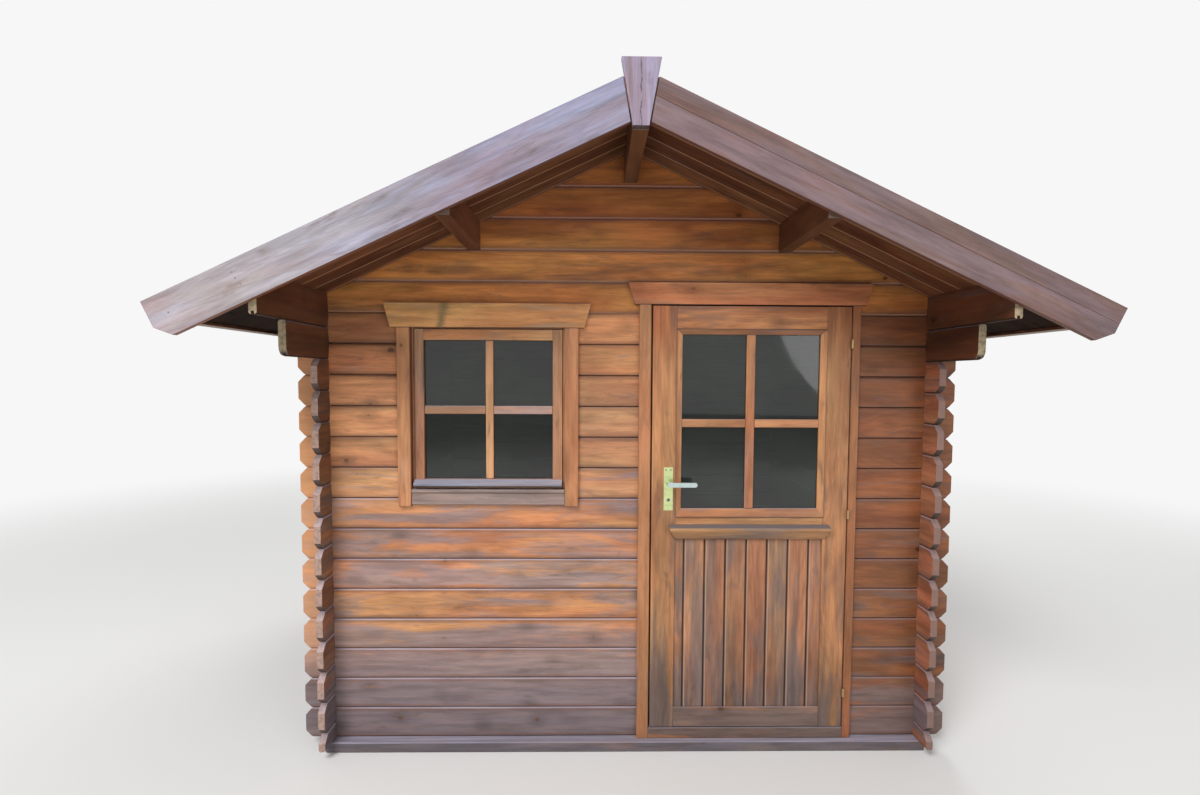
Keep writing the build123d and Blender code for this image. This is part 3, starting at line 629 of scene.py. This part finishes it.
LEAF_TINT_RISE = (1.62, 1.80)
GABLE_TINT_RISE = (2.08, 2.24)
POST_TINT_SPAN = (0.4, 0.6)
BOARD_TINT_SPAN = (-0.45, -1.3)


def tinted(s, axis, span, tint):
    """A wood's material with a tint that comes in between two places along an axis."""
    s.tint(s.remap(s.along(axis), *span), tint)
    return s.material


def door_material(name, joints=None):
    """The leaf's frame, redder above its glass."""
    s = wood(name, (0.54, 0.27, 0.125), (0.27, 0.11, 0.05), (0.235, 0.15, 0.11), wear=0.35, low_wear=0.3,
             knots=0.25, low_dark=0.68, fibres=0.5, damp=0.45, sky_sheen=0.4, joints=joints)
    return tinted(s, "Z", LEAF_TINT_RISE, (0.98, 0.77, 0.70))


def gable_material():
    """The high logs, redder and darker at the top, partly painted shade under the roof, with painted
    highlights on the edges over their joints.
    """
    s = wood("glazed_gable", (0.62, 0.25, 0.07), (0.27, 0.088, 0.024), (0.20, 0.10, 0.05), wear=0.3,
             sky_sheen=0.3, shade_below=0.0, below=(0.30, 0.165, 0.105), joints=front_row)
    return tinted(s, "Z", GABLE_TINT_RISE, (0.9, 0.75, 0.8))


def jamb_material():
    """The door posts, the right one darker."""
    s = wood("glazed_door_posts", (0.50, 0.235, 0.115), (0.32, 0.13, 0.055), (0.27, 0.19, 0.16), wear=0.2,
             low_wear=0.3, knots=0.2, rings=0.3, fibres=0.4, damp=0.5)
    return tinted(s, "X", POST_TINT_SPAN, (0.76, 0.64, 0.60))


def left_barge_material():
    """The long board: its lavender-grey is a painted sky reflection over dark stain, bluer under the ridge
    and paler and browner towards its eave.
    """
    s = wood("bare_board", (0.28, 0.26, 0.375), (0.215, 0.17, 0.215), (0.30, 0.305, 0.44), wear=0.5,
             knots=0.15, rings=0.5, fibres=0.5, sky_sheen=0.35, shade_below=0.0, below=BARGE_UNDERSIDE)
    return tinted(s, "X", BOARD_TINT_SPAN, (1.5, 1.38, 1.10))


EAVE_REACH = (1.2, 1.32)
EAVE_SHADE = 0.15
ROOF_GLOSS = 0.08


def roof_board_material():
    """Roof boards, with painted shade where they reach out over the eaves."""
    s = wood("roof_timber", (0.18, 0.075, 0.038), (0.075, 0.027, 0.015), (0.11, 0.07, 0.06), wear=0.2,
             knots=0.35, sky_sheen=0.1, shade_below=0.0, rough=0.75, joints=roof_row)
    # Painted shade under the overhanging eaves
    outward = s.math("ABSOLUTE", s.along("X"))
    s.shade(s.remap(outward, *EAVE_REACH, 1, EAVE_SHADE))
    s.put(s.surface, "Specular IOR Level", ROOF_GLOSS)
    return s.material


BRIGHT_ENDS = (0.78, 0.38, 0.18)
BRIGHT_SHARE = 0.55
BRIGHT_RISE = (0.25, 0.52)
ROWS_BEGIN = (0.98, 1.06)
ROWS_END = (1.60, 1.50)
WINDOW_SPAN = (-0.85, 0.0)
PAINTED_LIGHT_LEFT = (1.22, 1.33, 1.45)
PAINTED_SHADE_RIGHT = (0.78, 0.86, 1.0)
CORNER_SPAN = (-0.80, -1.0)
CORNER_RISE = (1.62, 1.70)
CORNER_SHADE = 0.6
SOFT_EDGE = 10 * MM
left_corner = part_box("left_side_wall")[0].x


def front_wall_material():
    """The front logs: painted light on the ends left of the corner, painted light and shade that make them
    paler left of the window than right of it, and painted shade in the corner under the eave.
    """
    s = wood("glazed_wall", ORANGE, RUST, GREY_BROWN, wear=0.52, low_wear=0.50, high_share=0.1,
             low_dark=0.98, end_light=(0.225, 0.14, 0.10), knots=0.7, joints=front_row)
    x, _, z = s.parts(s.place())
    # Painted light on the log ends past the left corner
    past_corner = s.remap(x, left_corner, left_corner - SOFT_EDGE)
    painted_end_light = s.product(past_corner, s.remap(z, *BRIGHT_RISE, 0, BRIGHT_SHARE))
    s.cover(painted_end_light, BRIGHT_ENDS)
    # Painted light left of the window and painted shade right of it, on the rows beside it
    rows = s.product(s.remap(z, *ROWS_BEGIN), s.remap(z, *ROWS_END),
                     s.remap(x, left_corner, left_corner + SOFT_EDGE))
    s.tint(rows, s.mix(s.remap(x, *WINDOW_SPAN), PAINTED_LIGHT_LEFT, PAINTED_SHADE_RIGHT))
    # Painted shadow of the eave in the corner under it
    under_eave = s.product(s.remap(x, *CORNER_SPAN), s.remap(z, *CORNER_RISE))
    s.shade(s.remap(under_eave, 0, 1, 1, CORNER_SHADE))
    return s.material


ENDS_RISE = (0.95, 1.35)
ENDS_SHADE = 0.5


def side_wall_material():
    """The left wall's logs, a shaded copy of the right wall's wood, darker still under the eave where they
    pass the front wall: painted shade.
    """
    s = wood("glazed_side", (0.33, 0.145, 0.078), (0.13, 0.05, 0.03), (0.18, 0.13, 0.115), wear=0.35,
             low_wear=0.45, high_share=0.7, sky_sheen=0.9, end_light=(0.50, 0.33, 0.27), joints=side_row)
    # Painted shade on the logs where they pass the front wall, not on their sawn ends, growing upward
    _, y, z = s.parts(s.place())
    passing = s.remap(y, wall_front, wall_front - SOFT_EDGE / 2)
    not_end = s.remap(s.attribute("end", "Fac"), 0, 1, 1, 0)
    dark = s.product(passing, s.remap(z, *ENDS_RISE), not_end)
    s.shade(s.remap(dark, 0, 1, 1, ENDS_SHADE))
    return s.material


STREAK_X = -0.772
STREAK_LEAN = 0.2
STREAK_HALF_WIDTH = (46 * MM, 12 * MM)
STREAK_RAGGED = 30 * MM
STREAK_FOOT = (85 * MM, 50 * MM)
MOULD = (0.13, 0.115, 0.06)


def head_trim_material():
    """The board over the window, with a mouldy streak that leans near its left end."""
    s = wood("glazed_head_trim", (0.64, 0.33, 0.135), (0.38, 0.165, 0.06), (0.33, 0.24, 0.16), wear=0.2,
             knots=0.25, sky_sheen=0.3)
    x, _, z = s.parts(s.place())
    lean = s.product(s.math("SUBTRACT", z, casing_high.z), STREAK_LEAN)
    across = s.math("SUBTRACT", s.math("SUBTRACT", x, STREAK_X), lean)
    ragged = s.product(s.noise(s.place(), scale=45, detail=4, roughness=0.6), STREAK_RAGGED)
    streak = s.remap(s.total(s.math("ABSOLUTE", across), ragged), *STREAK_HALF_WIDTH, 0.0, 0.72)
    foot, full = STREAK_FOOT
    streak = s.product(streak, s.remap(z, casing_high.z - foot, casing_high.z - full))
    s.cover(streak, MOULD)
    return s.material


def panel_material():
    """The leaf's boards: a dark groove at each joint, painted shade, and a pale edge on its right, a painted
    highlight.
    """
    s = wood("glazed_panel", (0.48, 0.23, 0.12), (0.22, 0.095, 0.055), (0.22, 0.155, 0.13), wear=0.45,
             low_wear=0.2, knots=0.2, low_dark=0.75, fibres=0.5, damp=0.4, joints=panel_row)
    # A pale line beside each groove: a painted highlight on the chamfer
    first_edge = PANEL_FIRST_GROOVE + panel_row["half_width"]
    s.paint(draw_joints(s, s.base_colour(), (0.47, 0.33, 0.25), 0.5, axis="X", first=first_edge,
                        spacing=PANEL_BOARD, half_width=3.5 * MM))
    return s.material


def drip_material():
    """The moulding that throws the rain off, bare and grey on top."""
    s = wood("worn_drip", (0.60, 0.31, 0.145), (0.38, 0.18, 0.09), (0.25, 0.19, 0.17), wear=0.45,
             knots=0.05, sky_sheen=0.0, shade_below=0.2)
    s.cover(s.product(s.remap(s.facing_up(), 0.3, 0.6), 0.95), (0.15, 0.13, 0.135))
    return s.material


CRACK_WANDER = 22 * MM
CRACK_HALF_WIDTH = (3.6 * MM, 0.8 * MM)
STAIN_HALF_WIDTH = (26 * MM, 3 * MM)


def ridge_plate_material():
    """The ridge plate's board, lavender-grey as a painted sky reflection over its stain, with the broken
    dark crack down its middle.
    """
    s = wood("ridge_plate", (0.30, 0.25, 0.34), (0.18, 0.125, 0.145), (0.31, 0.28, 0.39), wear=0.5,
             knots=0.0, rings=0.5, fibres=0.5, sky_sheen=0.3)
    place = s.place()
    wander = s.noise(s.vector("MULTIPLY", place, (0, 0, 14)), detail=4, roughness=0.6)
    bend = s.product(s.math("SUBTRACT", wander, 0.5), CRACK_WANDER)
    away = s.math("ABSOLUTE", s.math("SUBTRACT", s.along("X"), bend))
    breaks = s.noise(s.vector("MULTIPLY", place, (90, 0, 34)), detail=4, roughness=0.6)
    crack = s.product(s.remap(away, *CRACK_HALF_WIDTH), s.remap(breaks, 0.42, 0.56), 0.8)
    s.cover(s.product(s.remap(away, *STAIN_HALF_WIDTH), 0.4), (0.17, 0.11, 0.13))
    s.cover(crack, (0.05, 0.035, 0.045))
    return s.material


roof_wood = roof_board_material()
door_wood = door_material("glazed_door")
rail_wood = door_material("glazed_door_rails", rail_ends)
jamb_wood = jamb_material()
panel_wood = panel_material()
drip_wood = drip_material()
wall_wood = front_wall_material()
shaded_side_wood = side_wall_material()
gable_wood = gable_material()
head_trim_wood = head_trim_material()
left_barge_wood = left_barge_material()
plate_wood = ridge_plate_material()


def felt_material():
    """Mineral roofing felt: dark bitumen with slate grit."""
    s = Shading("mineral_felt")
    place = s.place()
    grit = s.noise(place, scale=900, detail=2, roughness=0.6)
    cloud = s.noise(place, scale=2.2, detail=5, roughness=0.6)
    colour = s.mix(s.remap(grit, 0.35, 0.65), (0.045, 0.048, 0.052), (0.13, 0.135, 0.14))
    colour = s.mix(s.remap(cloud, 0.45, 0.75, 0, 0.5), colour, (0.085, 0.095, 0.07))
    s.paint(colour)
    s.put(s.surface, "Roughness", 0.9)
    s.put(s.surface, "Normal", s.bump(grit, strength=0.6, depth=1.0 * MM))
    return s.material


def metal(name, colour, roughness):
    """Cast or drawn metal with faint brushing and dull spots."""
    s = Shading(name)
    place = s.place()
    dull = s.noise(place, scale=60, detail=4, roughness=0.6)
    brushed = s.noise(s.vector("MULTIPLY", place, (900, 900, 40)))
    s.paint(s.mix(s.remap(dull, 0.45, 0.75, 0, 0.6), colour, scaled(colour, 0.7)))
    s.put(s.surface, "Metallic", 1.0)
    s.put(s.surface, "Roughness", s.remap(dull, 0.3, 0.8, roughness, roughness + 0.18))
    s.put(s.surface, "Normal", s.bump(brushed, strength=0.08, depth=0.3 * MM))
    return s.material


GLASS_ALPHA = 0.62
GLASS_IOR = 1.75


def glass_material():
    """Pane over an unlit room: mostly a painted dark that stands for the shade behind it, and a clear
    reflection.
    """
    s = Shading("window_pane")
    film = s.noise(s.place(), scale=5, detail=4, roughness=0.6)
    s.paint(s.mix(s.remap(film, 0.3, 0.8), (0.008, 0.011, 0.009), (0.022, 0.03, 0.023)))
    s.put(s.surface, "Roughness", s.remap(film, 0.4, 0.8, 0.03, 0.07))
    s.put(s.surface, "Alpha", GLASS_ALPHA)
    s.put(s.surface, "IOR", GLASS_IOR)
    return s.material


felt = felt_material()
pane = glass_material()
lever_metal = metal("satin_aluminium", (0.60, 0.71, 0.70), 0.28)
plate_metal = metal("champagne_aluminium", (0.68, 0.77, 0.38), 0.30)
hinge_metal = metal("dull_hinge", (0.46, 0.32, 0.16), 0.4)
screw_metal = metal("weathered_screw", (0.26, 0.24, 0.23), 0.5)
keyhole_shade_metal = metal("dark_key_way", (0.03, 0.03, 0.03), 0.5)

# Log walls

FRONT_LOGS = 20
SIDE_LOGS = 15
LOG_EASE = 1.5 * MM
front_joints = [beam_top + count * log_height for count in range(1, FRONT_LOGS)]
side_joints = [beam_top + (count - 0.5) * log_height for count in range(1, SIDE_LOGS)]


def log_piece(node, material, joints, grain):
    dress([node], node + "_logs", material, "wall_log", grain, axis="z", cuts=joints, ease=LOG_EASE)


log_piece("front_wall_lower", wall_wood, front_joints, grain_x)
log_piece("front_wall_beside_window", wall_wood, front_joints, grain_x)
log_piece("front_wall_right_of_door", shaded_red_wall_wood, front_joints, grain_x)
log_piece("front_wall_over_door", gable_wood, front_joints, grain_x)
log_piece("front_gable", gable_wood, front_joints, grain_x)
log_piece("back_wall", back_wall_wood, front_joints, grain_x)
log_piece("left_side_wall", shaded_side_wood, side_joints, grain_y)
log_piece("right_side_wall", lit_right_side_wood, side_joints, grain_y)
dress(["corbel_logs"], "corbel_log_pair", eave_wood, "wall_log", grain_y)
dress(["eave_logs"], "eave_log_pair", eave_wood, "wall_log", grain_y)

# Foundation and floor

dress(["end_beams"], "foundation_end_beams", beam_wood, "foundation_wood", grain_x, ease=4 * MM)
dress(["side_beams_and_joists"], "foundation_side_beams", beam_wood, "foundation_wood", grain_y, ease=3 * MM)
FLOOR_BOARD = 96 * MM
FLOOR_BOARDS = 21
floor_cuts = [room_low.y + FLOOR_BOARD * count for count in range(1, FLOOR_BOARDS)]
dress(["floor_boards"], "floor_planks", floor_wood, "floor_wood", grain_x, axis="y", cuts=floor_cuts,
      ease=1.5 * MM)

# Roof

ROOF_BOARDS = 29
roof_cuts = [roof_low.y + ROOF_BOARD * count for count in range(1, ROOF_BOARDS)]
for side in ("left", "right"):
    dress([side + "_roof_boards"], side + "_roof_planks", roof_wood, "roof_timber", grain_slope,
          axis="y", cuts=roof_cuts, ease=4 * MM)
dress(["roof_purlins"], "purlins", purlin_wood, "roof_timber", grain_y, ease=3 * MM)
dress(["eave_fascias"], "fascias", fascia_wood, "roof_timber", grain_y)
dress(["front_left_bargeboard"], "bargeboard_left", left_barge_wood, "bare_board", grain_slope)
dress(["front_right_bargeboard", "front_right_barge_strip"], "bargeboards_right", shaded_right_barge_wood,
      "bare_board", grain_slope)
dress(["back_bargeboards"], "bargeboards_back", back_barge_wood, "bare_board", grain_slope)
dress(["keystone_plates"], "ridge_plates", plate_wood, "bare_board", grain_z)


def coat(node, material):
    """Gives a CAD node that is shown as it is its material."""
    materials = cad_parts[node].data.materials
    materials.clear()
    materials.append(material)


coat("roof_felt", felt)
coat("ridge_strip", felt)

# Window

dress(["window_frame_jambs"], "window_posts", trim_wood, "trim_wood", grain_z)
dress(["window_frame_rails"], "window_head_and_foot", trim_wood, "trim_wood", grain_x)
dress(["window_sash_stiles"], "sash_stiles", sash_wood, "trim_wood", grain_z, ease=3 * MM)
dress(["window_sash_rails"], "sash_rails", sash_rail_wood, "trim_wood", grain_x, ease=3 * MM)
dress(["window_weather_bar"], "weather_bar", weather_bar_wood, "trim_wood", grain_x, ease=3 * MM)
dress(["window_side_casings"], "casings_beside_window", trim_wood, "trim_wood", grain_z, ease=3 * MM)
dress(["window_top_casing"], "top_casing", head_trim_wood, "trim_wood", grain_x, ease=3 * MM)
dress(["window_bottom_board"], "bottom_board", sill_wood, "trim_wood", grain_x, ease=3 * MM)

# Door frame and leaf

dress(["door_jambs"], "door_posts", jamb_wood, "trim_wood", grain_z, ease=3 * MM)
dress(["door_head_and_threshold"], "door_head_and_sill", door_wood, "trim_wood", grain_x, ease=3 * MM)
dress(["door_header_trim"], "header_board", header_wood, "trim_wood", grain_x, ease=3 * MM)
dress(["door_stiles"], "leaf_stiles", door_wood, "door_wood", grain_z, body="door")
dress(["door_rails"], "leaf_rails", rail_wood, "door_wood", grain_x, body="door")
dress(["door_drip_moulding"], "drip_moulding", drip_wood, "door_wood", grain_x, body="door", ease=3 * MM)
PANEL_GROOVES = 7
panel_cuts = [PANEL_FIRST_GROOVE + PANEL_BOARD * count for count in range(PANEL_GROOVES)]
dress(["door_panel"], "panel_boards", panel_wood, "door_wood", grain_z, body="door",
      axis="x", cuts=panel_cuts, ease=7 * MM)

# Glass with its beads and crossed bars

coat("window_glass", pane)
coat("door_glass", pane)


def add_block(bm, front, back):
    """A block between two quads whose corners run the same way round."""
    near = [bm.verts.new(corner) for corner in front]
    far = [bm.verts.new(corner) for corner in back]
    bm.faces.new(near)
    bm.faces.new(far[::-1])
    for i in range(4):
        j = (i + 1) % 4
        bm.faces.new((near[i], far[i], far[j], near[j]))


def rectangle(x_low, x_high, z_low, z_high, y):
    return [(x_low, y, z_low), (x_high, y, z_low), (x_high, y, z_high), (x_low, y, z_high)]


def new_pieces(name, blocks, material, body, slot, grain, ease):
    """One object made of blocks, each given as its front and its back quad."""
    bm = bmesh.new()
    for front, back in blocks:
        add_block(bm, front, back)
    bmesh.ops.recalc_face_normals(bm, faces=bm.faces)
    mark_grain(bm, grain, random.Random(name))
    finish_mesh(bm, name, material, body, slot, ease)


def crossed_bars(name, body, slot, opening, upright, crossing, face, glass, up_wood, level_wood):
    """Bars on one side of a pane. The upright runs through and the crossing one stops at it."""
    x_low, x_high, z_low, z_high = opening
    uprights = [(rectangle(*upright, z_low, z_high, face), rectangle(*upright, z_low, z_high, glass))]
    crossings = [(rectangle(start, end, *crossing, face), rectangle(start, end, *crossing, glass))
                 for start, end in ((x_low, upright[0]), (upright[1], x_high))]
    new_pieces(name + "_upright", uprights, up_wood, body, slot, grain_z, BAR_EASE)
    new_pieces(name + "_crossing", crossings, level_wood, body, slot, grain_x, BAR_EASE)


def glazing_beads(name, opening, widths, outer_face, inner_face, glass):
    """Four mitred strips round the door's pane, sloping down from the leaf's face to the glass."""
    x_low, x_high, z_low, z_high = opening
    side, top, bottom = widths
    hole = (x_low + side, x_high - side, z_low + bottom, z_high - top)
    fronts = (rectangle(*opening, outer_face), rectangle(*hole, inner_face))
    backs = (rectangle(*opening, glass), rectangle(*hole, glass))
    strips = []
    for i in range(4):
        j = (i + 1) % 4
        strips.append([(outer[i], outer[j], inner[j], inner[i]) for outer, inner in (fronts, backs)])
    new_pieces(name + "_level", strips[0::2], bead_wood, "door", "door_wood", grain_x, BEAD_EASE)
    new_pieces(name + "_upright", strips[1::2], side_bead_wood, "door", "door_wood", grain_z, BEAD_EASE)
    return hole


BEAD_WIDTHS = (25 * MM, 23 * MM, 35 * MM)
BEAD_PROUD = 5 * MM
BEAD_DROP = 8 * MM
BEAD_EASE = 1.5 * MM
BAR_EASE = 4 * MM

# Where bars begin and end, across and upward
DOOR_UPRIGHT = (0.4835, 0.5205)
DOOR_CROSSING = (1.367, 1.402)
WINDOW_UPRIGHT = (-0.592, -0.560)
WINDOW_CROSSING = (1.418, 1.453)
BAR_HEIGHT = 11 * MM

outer_hole = glazing_beads("door_bead_outside", door_opening, BEAD_WIDTHS, leaf_front - BEAD_PROUD,
                           leaf_front + BEAD_DROP, door_pane_low.y)
inner_hole = glazing_beads("door_bead_inside", door_opening, BEAD_WIDTHS, leaf_back,
                           leaf_back - BEAD_DROP, door_pane_high.y)
crossed_bars("door_bar_outside", "door", "door_wood", outer_hole, DOOR_UPRIGHT, DOOR_CROSSING,
             door_pane_low.y - BAR_HEIGHT, door_pane_low.y, door_bar_wood, door_bar_wood)
crossed_bars("door_bar_inside", "door", "door_wood", inner_hole, DOOR_UPRIGHT, DOOR_CROSSING,
             door_pane_high.y + BAR_HEIGHT, door_pane_high.y, door_bar_wood, door_bar_wood)
crossed_bars("window_bar_outside", "shed", "trim_wood", window_opening, WINDOW_UPRIGHT, WINDOW_CROSSING,
             window_pane_low.y - BAR_HEIGHT, window_pane_low.y, bar_wood, crossing_wood)
crossed_bars("window_bar_inside", "shed", "trim_wood", window_opening, WINDOW_UPRIGHT, WINDOW_CROSSING,
             window_pane_high.y + BAR_HEIGHT, window_pane_high.y, bar_wood, bar_wood)

# Handle, hinges and screws

dress(["handle_plates"], "handle_plate_pair", plate_metal, "handle_plate", grain_z, body="door",
      ease=1.2 * MM)
dress(["door_lever"], "lever_pair", lever_metal, "lever_metal", grain_x, body="door_handle", ease=2 * MM)
coat("leaf_hinges", hinge_metal)
coat("frame_hinges", hinge_metal)


HEAD_SEGMENTS = 20
HEAD_TAPER = 0.8


def screws(name, places, face, radius, proud, body, slot):
    """Flat screw heads on a face that looks to the front."""
    bm = bmesh.new()
    turn = Matrix.Rotation(math.pi / 2, 4, "X")
    for x, z in places:
        spot = Matrix.Translation((x, face - proud / 2, z))
        bmesh.ops.create_cone(bm, cap_ends=True, segments=HEAD_SEGMENTS, radius1=radius,
                              radius2=radius * HEAD_TAPER, depth=proud, matrix=spot @ turn)
    finish_mesh(bm, name, screw_metal, body, slot, 0)


plate_low, plate_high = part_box("handle_plates")
PLATE_THICKNESS = 3 * MM
SCREW_FROM_TOP = 11 * MM
SCREW_SPACING = 10 * MM
PLATE_SCREW = (3.2 * MM, 0.8 * MM)
plate_x = (plate_low.x + plate_high.x) / 2
screw_z = plate_high.z - SCREW_FROM_TOP
screws("plate_screws", [(plate_x - SCREW_SPACING, screw_z), (plate_x + SCREW_SPACING, screw_z)],
       leaf_front - PLATE_THICKNESS, *PLATE_SCREW, "door", "handle_plate")

KEY_FACE_RADIUS = 7.6 * MM
KEY_FACE_PROUD = 0.5 * MM
KEY_SLOT = (1.2 * MM, 4.5 * MM)
KEY_SLOT_EASE = 0.2 * MM
KEY_RISE = 45 * MM
key_z = plate_low.z + KEY_RISE


def key_cylinder():
    """The dark face of the lock's cylinder in the front plate, and a dark block in the slot for the key as
    painted shade.
    """
    face = plate_low.y
    screws("key_cylinder", [(plate_x, key_z)], face, KEY_FACE_RADIUS, KEY_FACE_PROUD, "door", "handle_plate")
    half_width, half_height = KEY_SLOT
    sides = (plate_x - half_width, plate_x + half_width, key_z - half_height, key_z + half_height)
    slot = [(rectangle(*sides, face - 2 * KEY_FACE_PROUD), rectangle(*sides, face))]
    new_pieces("key_slot", slot, keyhole_shade_metal, "door", "handle_plate", grain_z, KEY_SLOT_EASE)


key_cylinder()

# Screws of the left bargeboard, each as its way down the slope and its rise from the boards
BARGE_SCREWS = ((1.660, -0.013), (1.420, -0.004), (1.423, 0.018), (1.413, -0.028), (0.705, 0.020),
                (0.509, 0.012), (0.454, 0.013), (0.378, -0.021))
BARGE_SCREW = (3 * MM, 0.5 * MM)
ROOF_BOARD_THICKNESS = 19 * MM
ridge_underside = roof_high.z - ROOF_BOARD_THICKNESS / math.cos(ROOF_PITCH)


def on_left_slope(along, rise):
    """A point that far down the left slope and that far above the roof boards' underside."""
    x = along * math.cos(ROOF_PITCH) + rise * math.sin(ROOF_PITCH)
    z = ridge_underside - along * math.sin(ROOF_PITCH) + rise * math.cos(ROOF_PITCH)
    return (-x, z)


screws("barge_screws", [on_left_slope(*place) for place in BARGE_SCREWS], barge_low.y, *BARGE_SCREW,
       "shed", "bare_board")

PLATE_HALF_TOP = 64 * MM
PLATE_HALF_BOTTOM = 26 * MM
PLATE_GAP = 4 * MM
GAP_STRIP_HEIGHT = 100 * MM
GAP_STRIP_RECESS = 5 * MM


def ridge_packing():
    """Dark strips set in the gaps between the ridge plates and the bargeboards' ends: painted shade for what
    shows through them.
    """
    wedge_low, wedge_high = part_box("keystone_plates")
    back_low, back_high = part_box("back_bargeboards")
    top = barge_high.z - MM
    bottom = top - GAP_STRIP_HEIGHT
    spread = (PLATE_HALF_TOP - PLATE_HALF_BOTTOM) / (wedge_high.z - wedge_low.z)
    high_edge = PLATE_HALF_BOTTOM + spread * (top - wedge_low.z)
    low_edge = PLATE_HALF_BOTTOM + spread * (bottom - wedge_low.z)
    corners = ((low_edge, bottom), (low_edge + PLATE_GAP, bottom),
               (high_edge + PLATE_GAP, top), (high_edge, top))
    at_front = (barge_low.y + GAP_STRIP_RECESS, barge_high.y)
    at_back = (back_low.y, back_high.y - GAP_STRIP_RECESS)
    strips = []
    for begin, end in (at_front, at_back):
        for side in (-1, 1):
            strips.append([[(side * x, y, z) for x, z in corners] for y in (begin, end)])
    new_pieces("ridge_packing", strips, purlin_wood, "shed", "roof_timber", grain_z, 0)


ridge_packing()

# Camera, light and floor

IMAGE_WIDTH = 1200
FOCAL_PIXELS = 564.5
SENSOR_WIDTH = 36
CAMERA_SHIFT = (-0.0008, 0.0087)
CAMERA_RANGE = 60
CAMERA_LEFT = 0.147
CAMERA_AWAY = 2.335
CAMERA_HEIGHT = 1.570
CAMERA_YAW = math.radians(0.765)
CAMERA_PITCH = math.radians(-3.032)
CAMERA_ROLL = math.radians(0.28)


def place_camera():
    """The photo's camera, as fitted to it."""
    data = bpy.data.cameras.new("camera")
    data.sensor_width = SENSOR_WIDTH
    data.lens = SENSOR_WIDTH * FOCAL_PIXELS / IMAGE_WIDTH
    data.shift_x, data.shift_y = CAMERA_SHIFT
    data.clip_end = CAMERA_RANGE
    camera = add_object("camera", data)
    turn = Matrix.Rotation(-CAMERA_YAW, 4, "Z") @ Matrix.Rotation(math.pi / 2 + CAMERA_PITCH, 4, "X")
    turn = turn @ Matrix.Rotation(CAMERA_ROLL, 4, "Z")
    place = Matrix.Translation((-CAMERA_LEFT, wall_front - CAMERA_AWAY, CAMERA_HEIGHT))
    camera.matrix_world = place @ turn
    bpy.context.scene.camera = camera


def area_light(name, place, target, size, power):
    data = bpy.data.lights.new(name, "AREA")
    data.shape = "DISK"
    data.size = size
    data.energy = power
    lamp = add_object(name, data)
    lamp.location = place
    lamp.rotation_euler = (Vector(target) - Vector(place)).to_track_quat("-Z", "Y").to_euler()


place_camera()
bpy.context.scene.view_settings.view_transform = "Standard"
area_light("key", place=(-3.5, -6.5, 7.5), target=(0, -0.5, 1.1), size=4.5, power=680)
area_light("fill", place=(5.0, -7.0, 3.0), target=(0, -0.5, 1.1), size=5.0, power=120)
area_light("rear", place=(2.5, 7.0, 6.0), target=(0, 0, 1.2), size=4.5, power=300)

BACKDROP = 0.93
SKY_LIGHT = 0.42


def light_world():
    """A soft white sky that looks brighter than it lights."""
    world = bpy.data.worlds.new("studio")
    world.use_nodes = True
    bpy.context.scene.world = world
    sky = Nodes(world.node_tree)
    rays = sky.node("ShaderNodeLightPath").outputs
    seen = sky.math("MAXIMUM", rays["Is Camera Ray"], rays["Is Glossy Ray"])
    seen = sky.math("MAXIMUM", seen, rays["Is Transmission Ray"])
    background = sky.tree.nodes["Background"]
    strength = sky.node("ShaderNodeMix", {0: seen, 2: SKY_LIGHT, 3: BACKDROP})
    sky.put(background, "Strength", strength.outputs[0])
    sky.put(background, "Color", WHITE)


FLOOR_RADIUS = 24
FLOOR_SEGMENTS = 96
FLOOR_NEAR = 3.2
FLOOR_FAR = 9.0


def stage_floor():
    """A pale floor that fades into the backdrop away from the shed."""
    bm = bmesh.new()
    bmesh.ops.create_circle(bm, cap_ends=True, segments=FLOOR_SEGMENTS, radius=FLOOR_RADIUS)
    data = bpy.data.meshes.new("studio_floor")
    bm.to_mesh(data)
    bm.free()
    floor = add_object("studio_floor", data)
    s = Shading("studio_floor")
    s.paint((0.78, 0.78, 0.77))
    s.put(s.surface, "Roughness", 0.9)
    glow = s.node("ShaderNodeEmission", {"Color": WHITE, "Strength": BACKDROP})
    seen = s.node("ShaderNodeLightPath").outputs["Is Camera Ray"]
    far = s.remap(s.length(s.place()), FLOOR_NEAR, FLOOR_FAR)
    blend = s.node("ShaderNodeMixShader", {0: s.math("MULTIPLY", far, seen)})
    s.put(blend, 1, s.surface.outputs[0])
    s.put(blend, 2, glow.outputs[0])
    s.put(s.tree.nodes["Material Output"], "Surface", blend.outputs[0])
    data.materials.append(s.material)


light_world()
stage_floor()
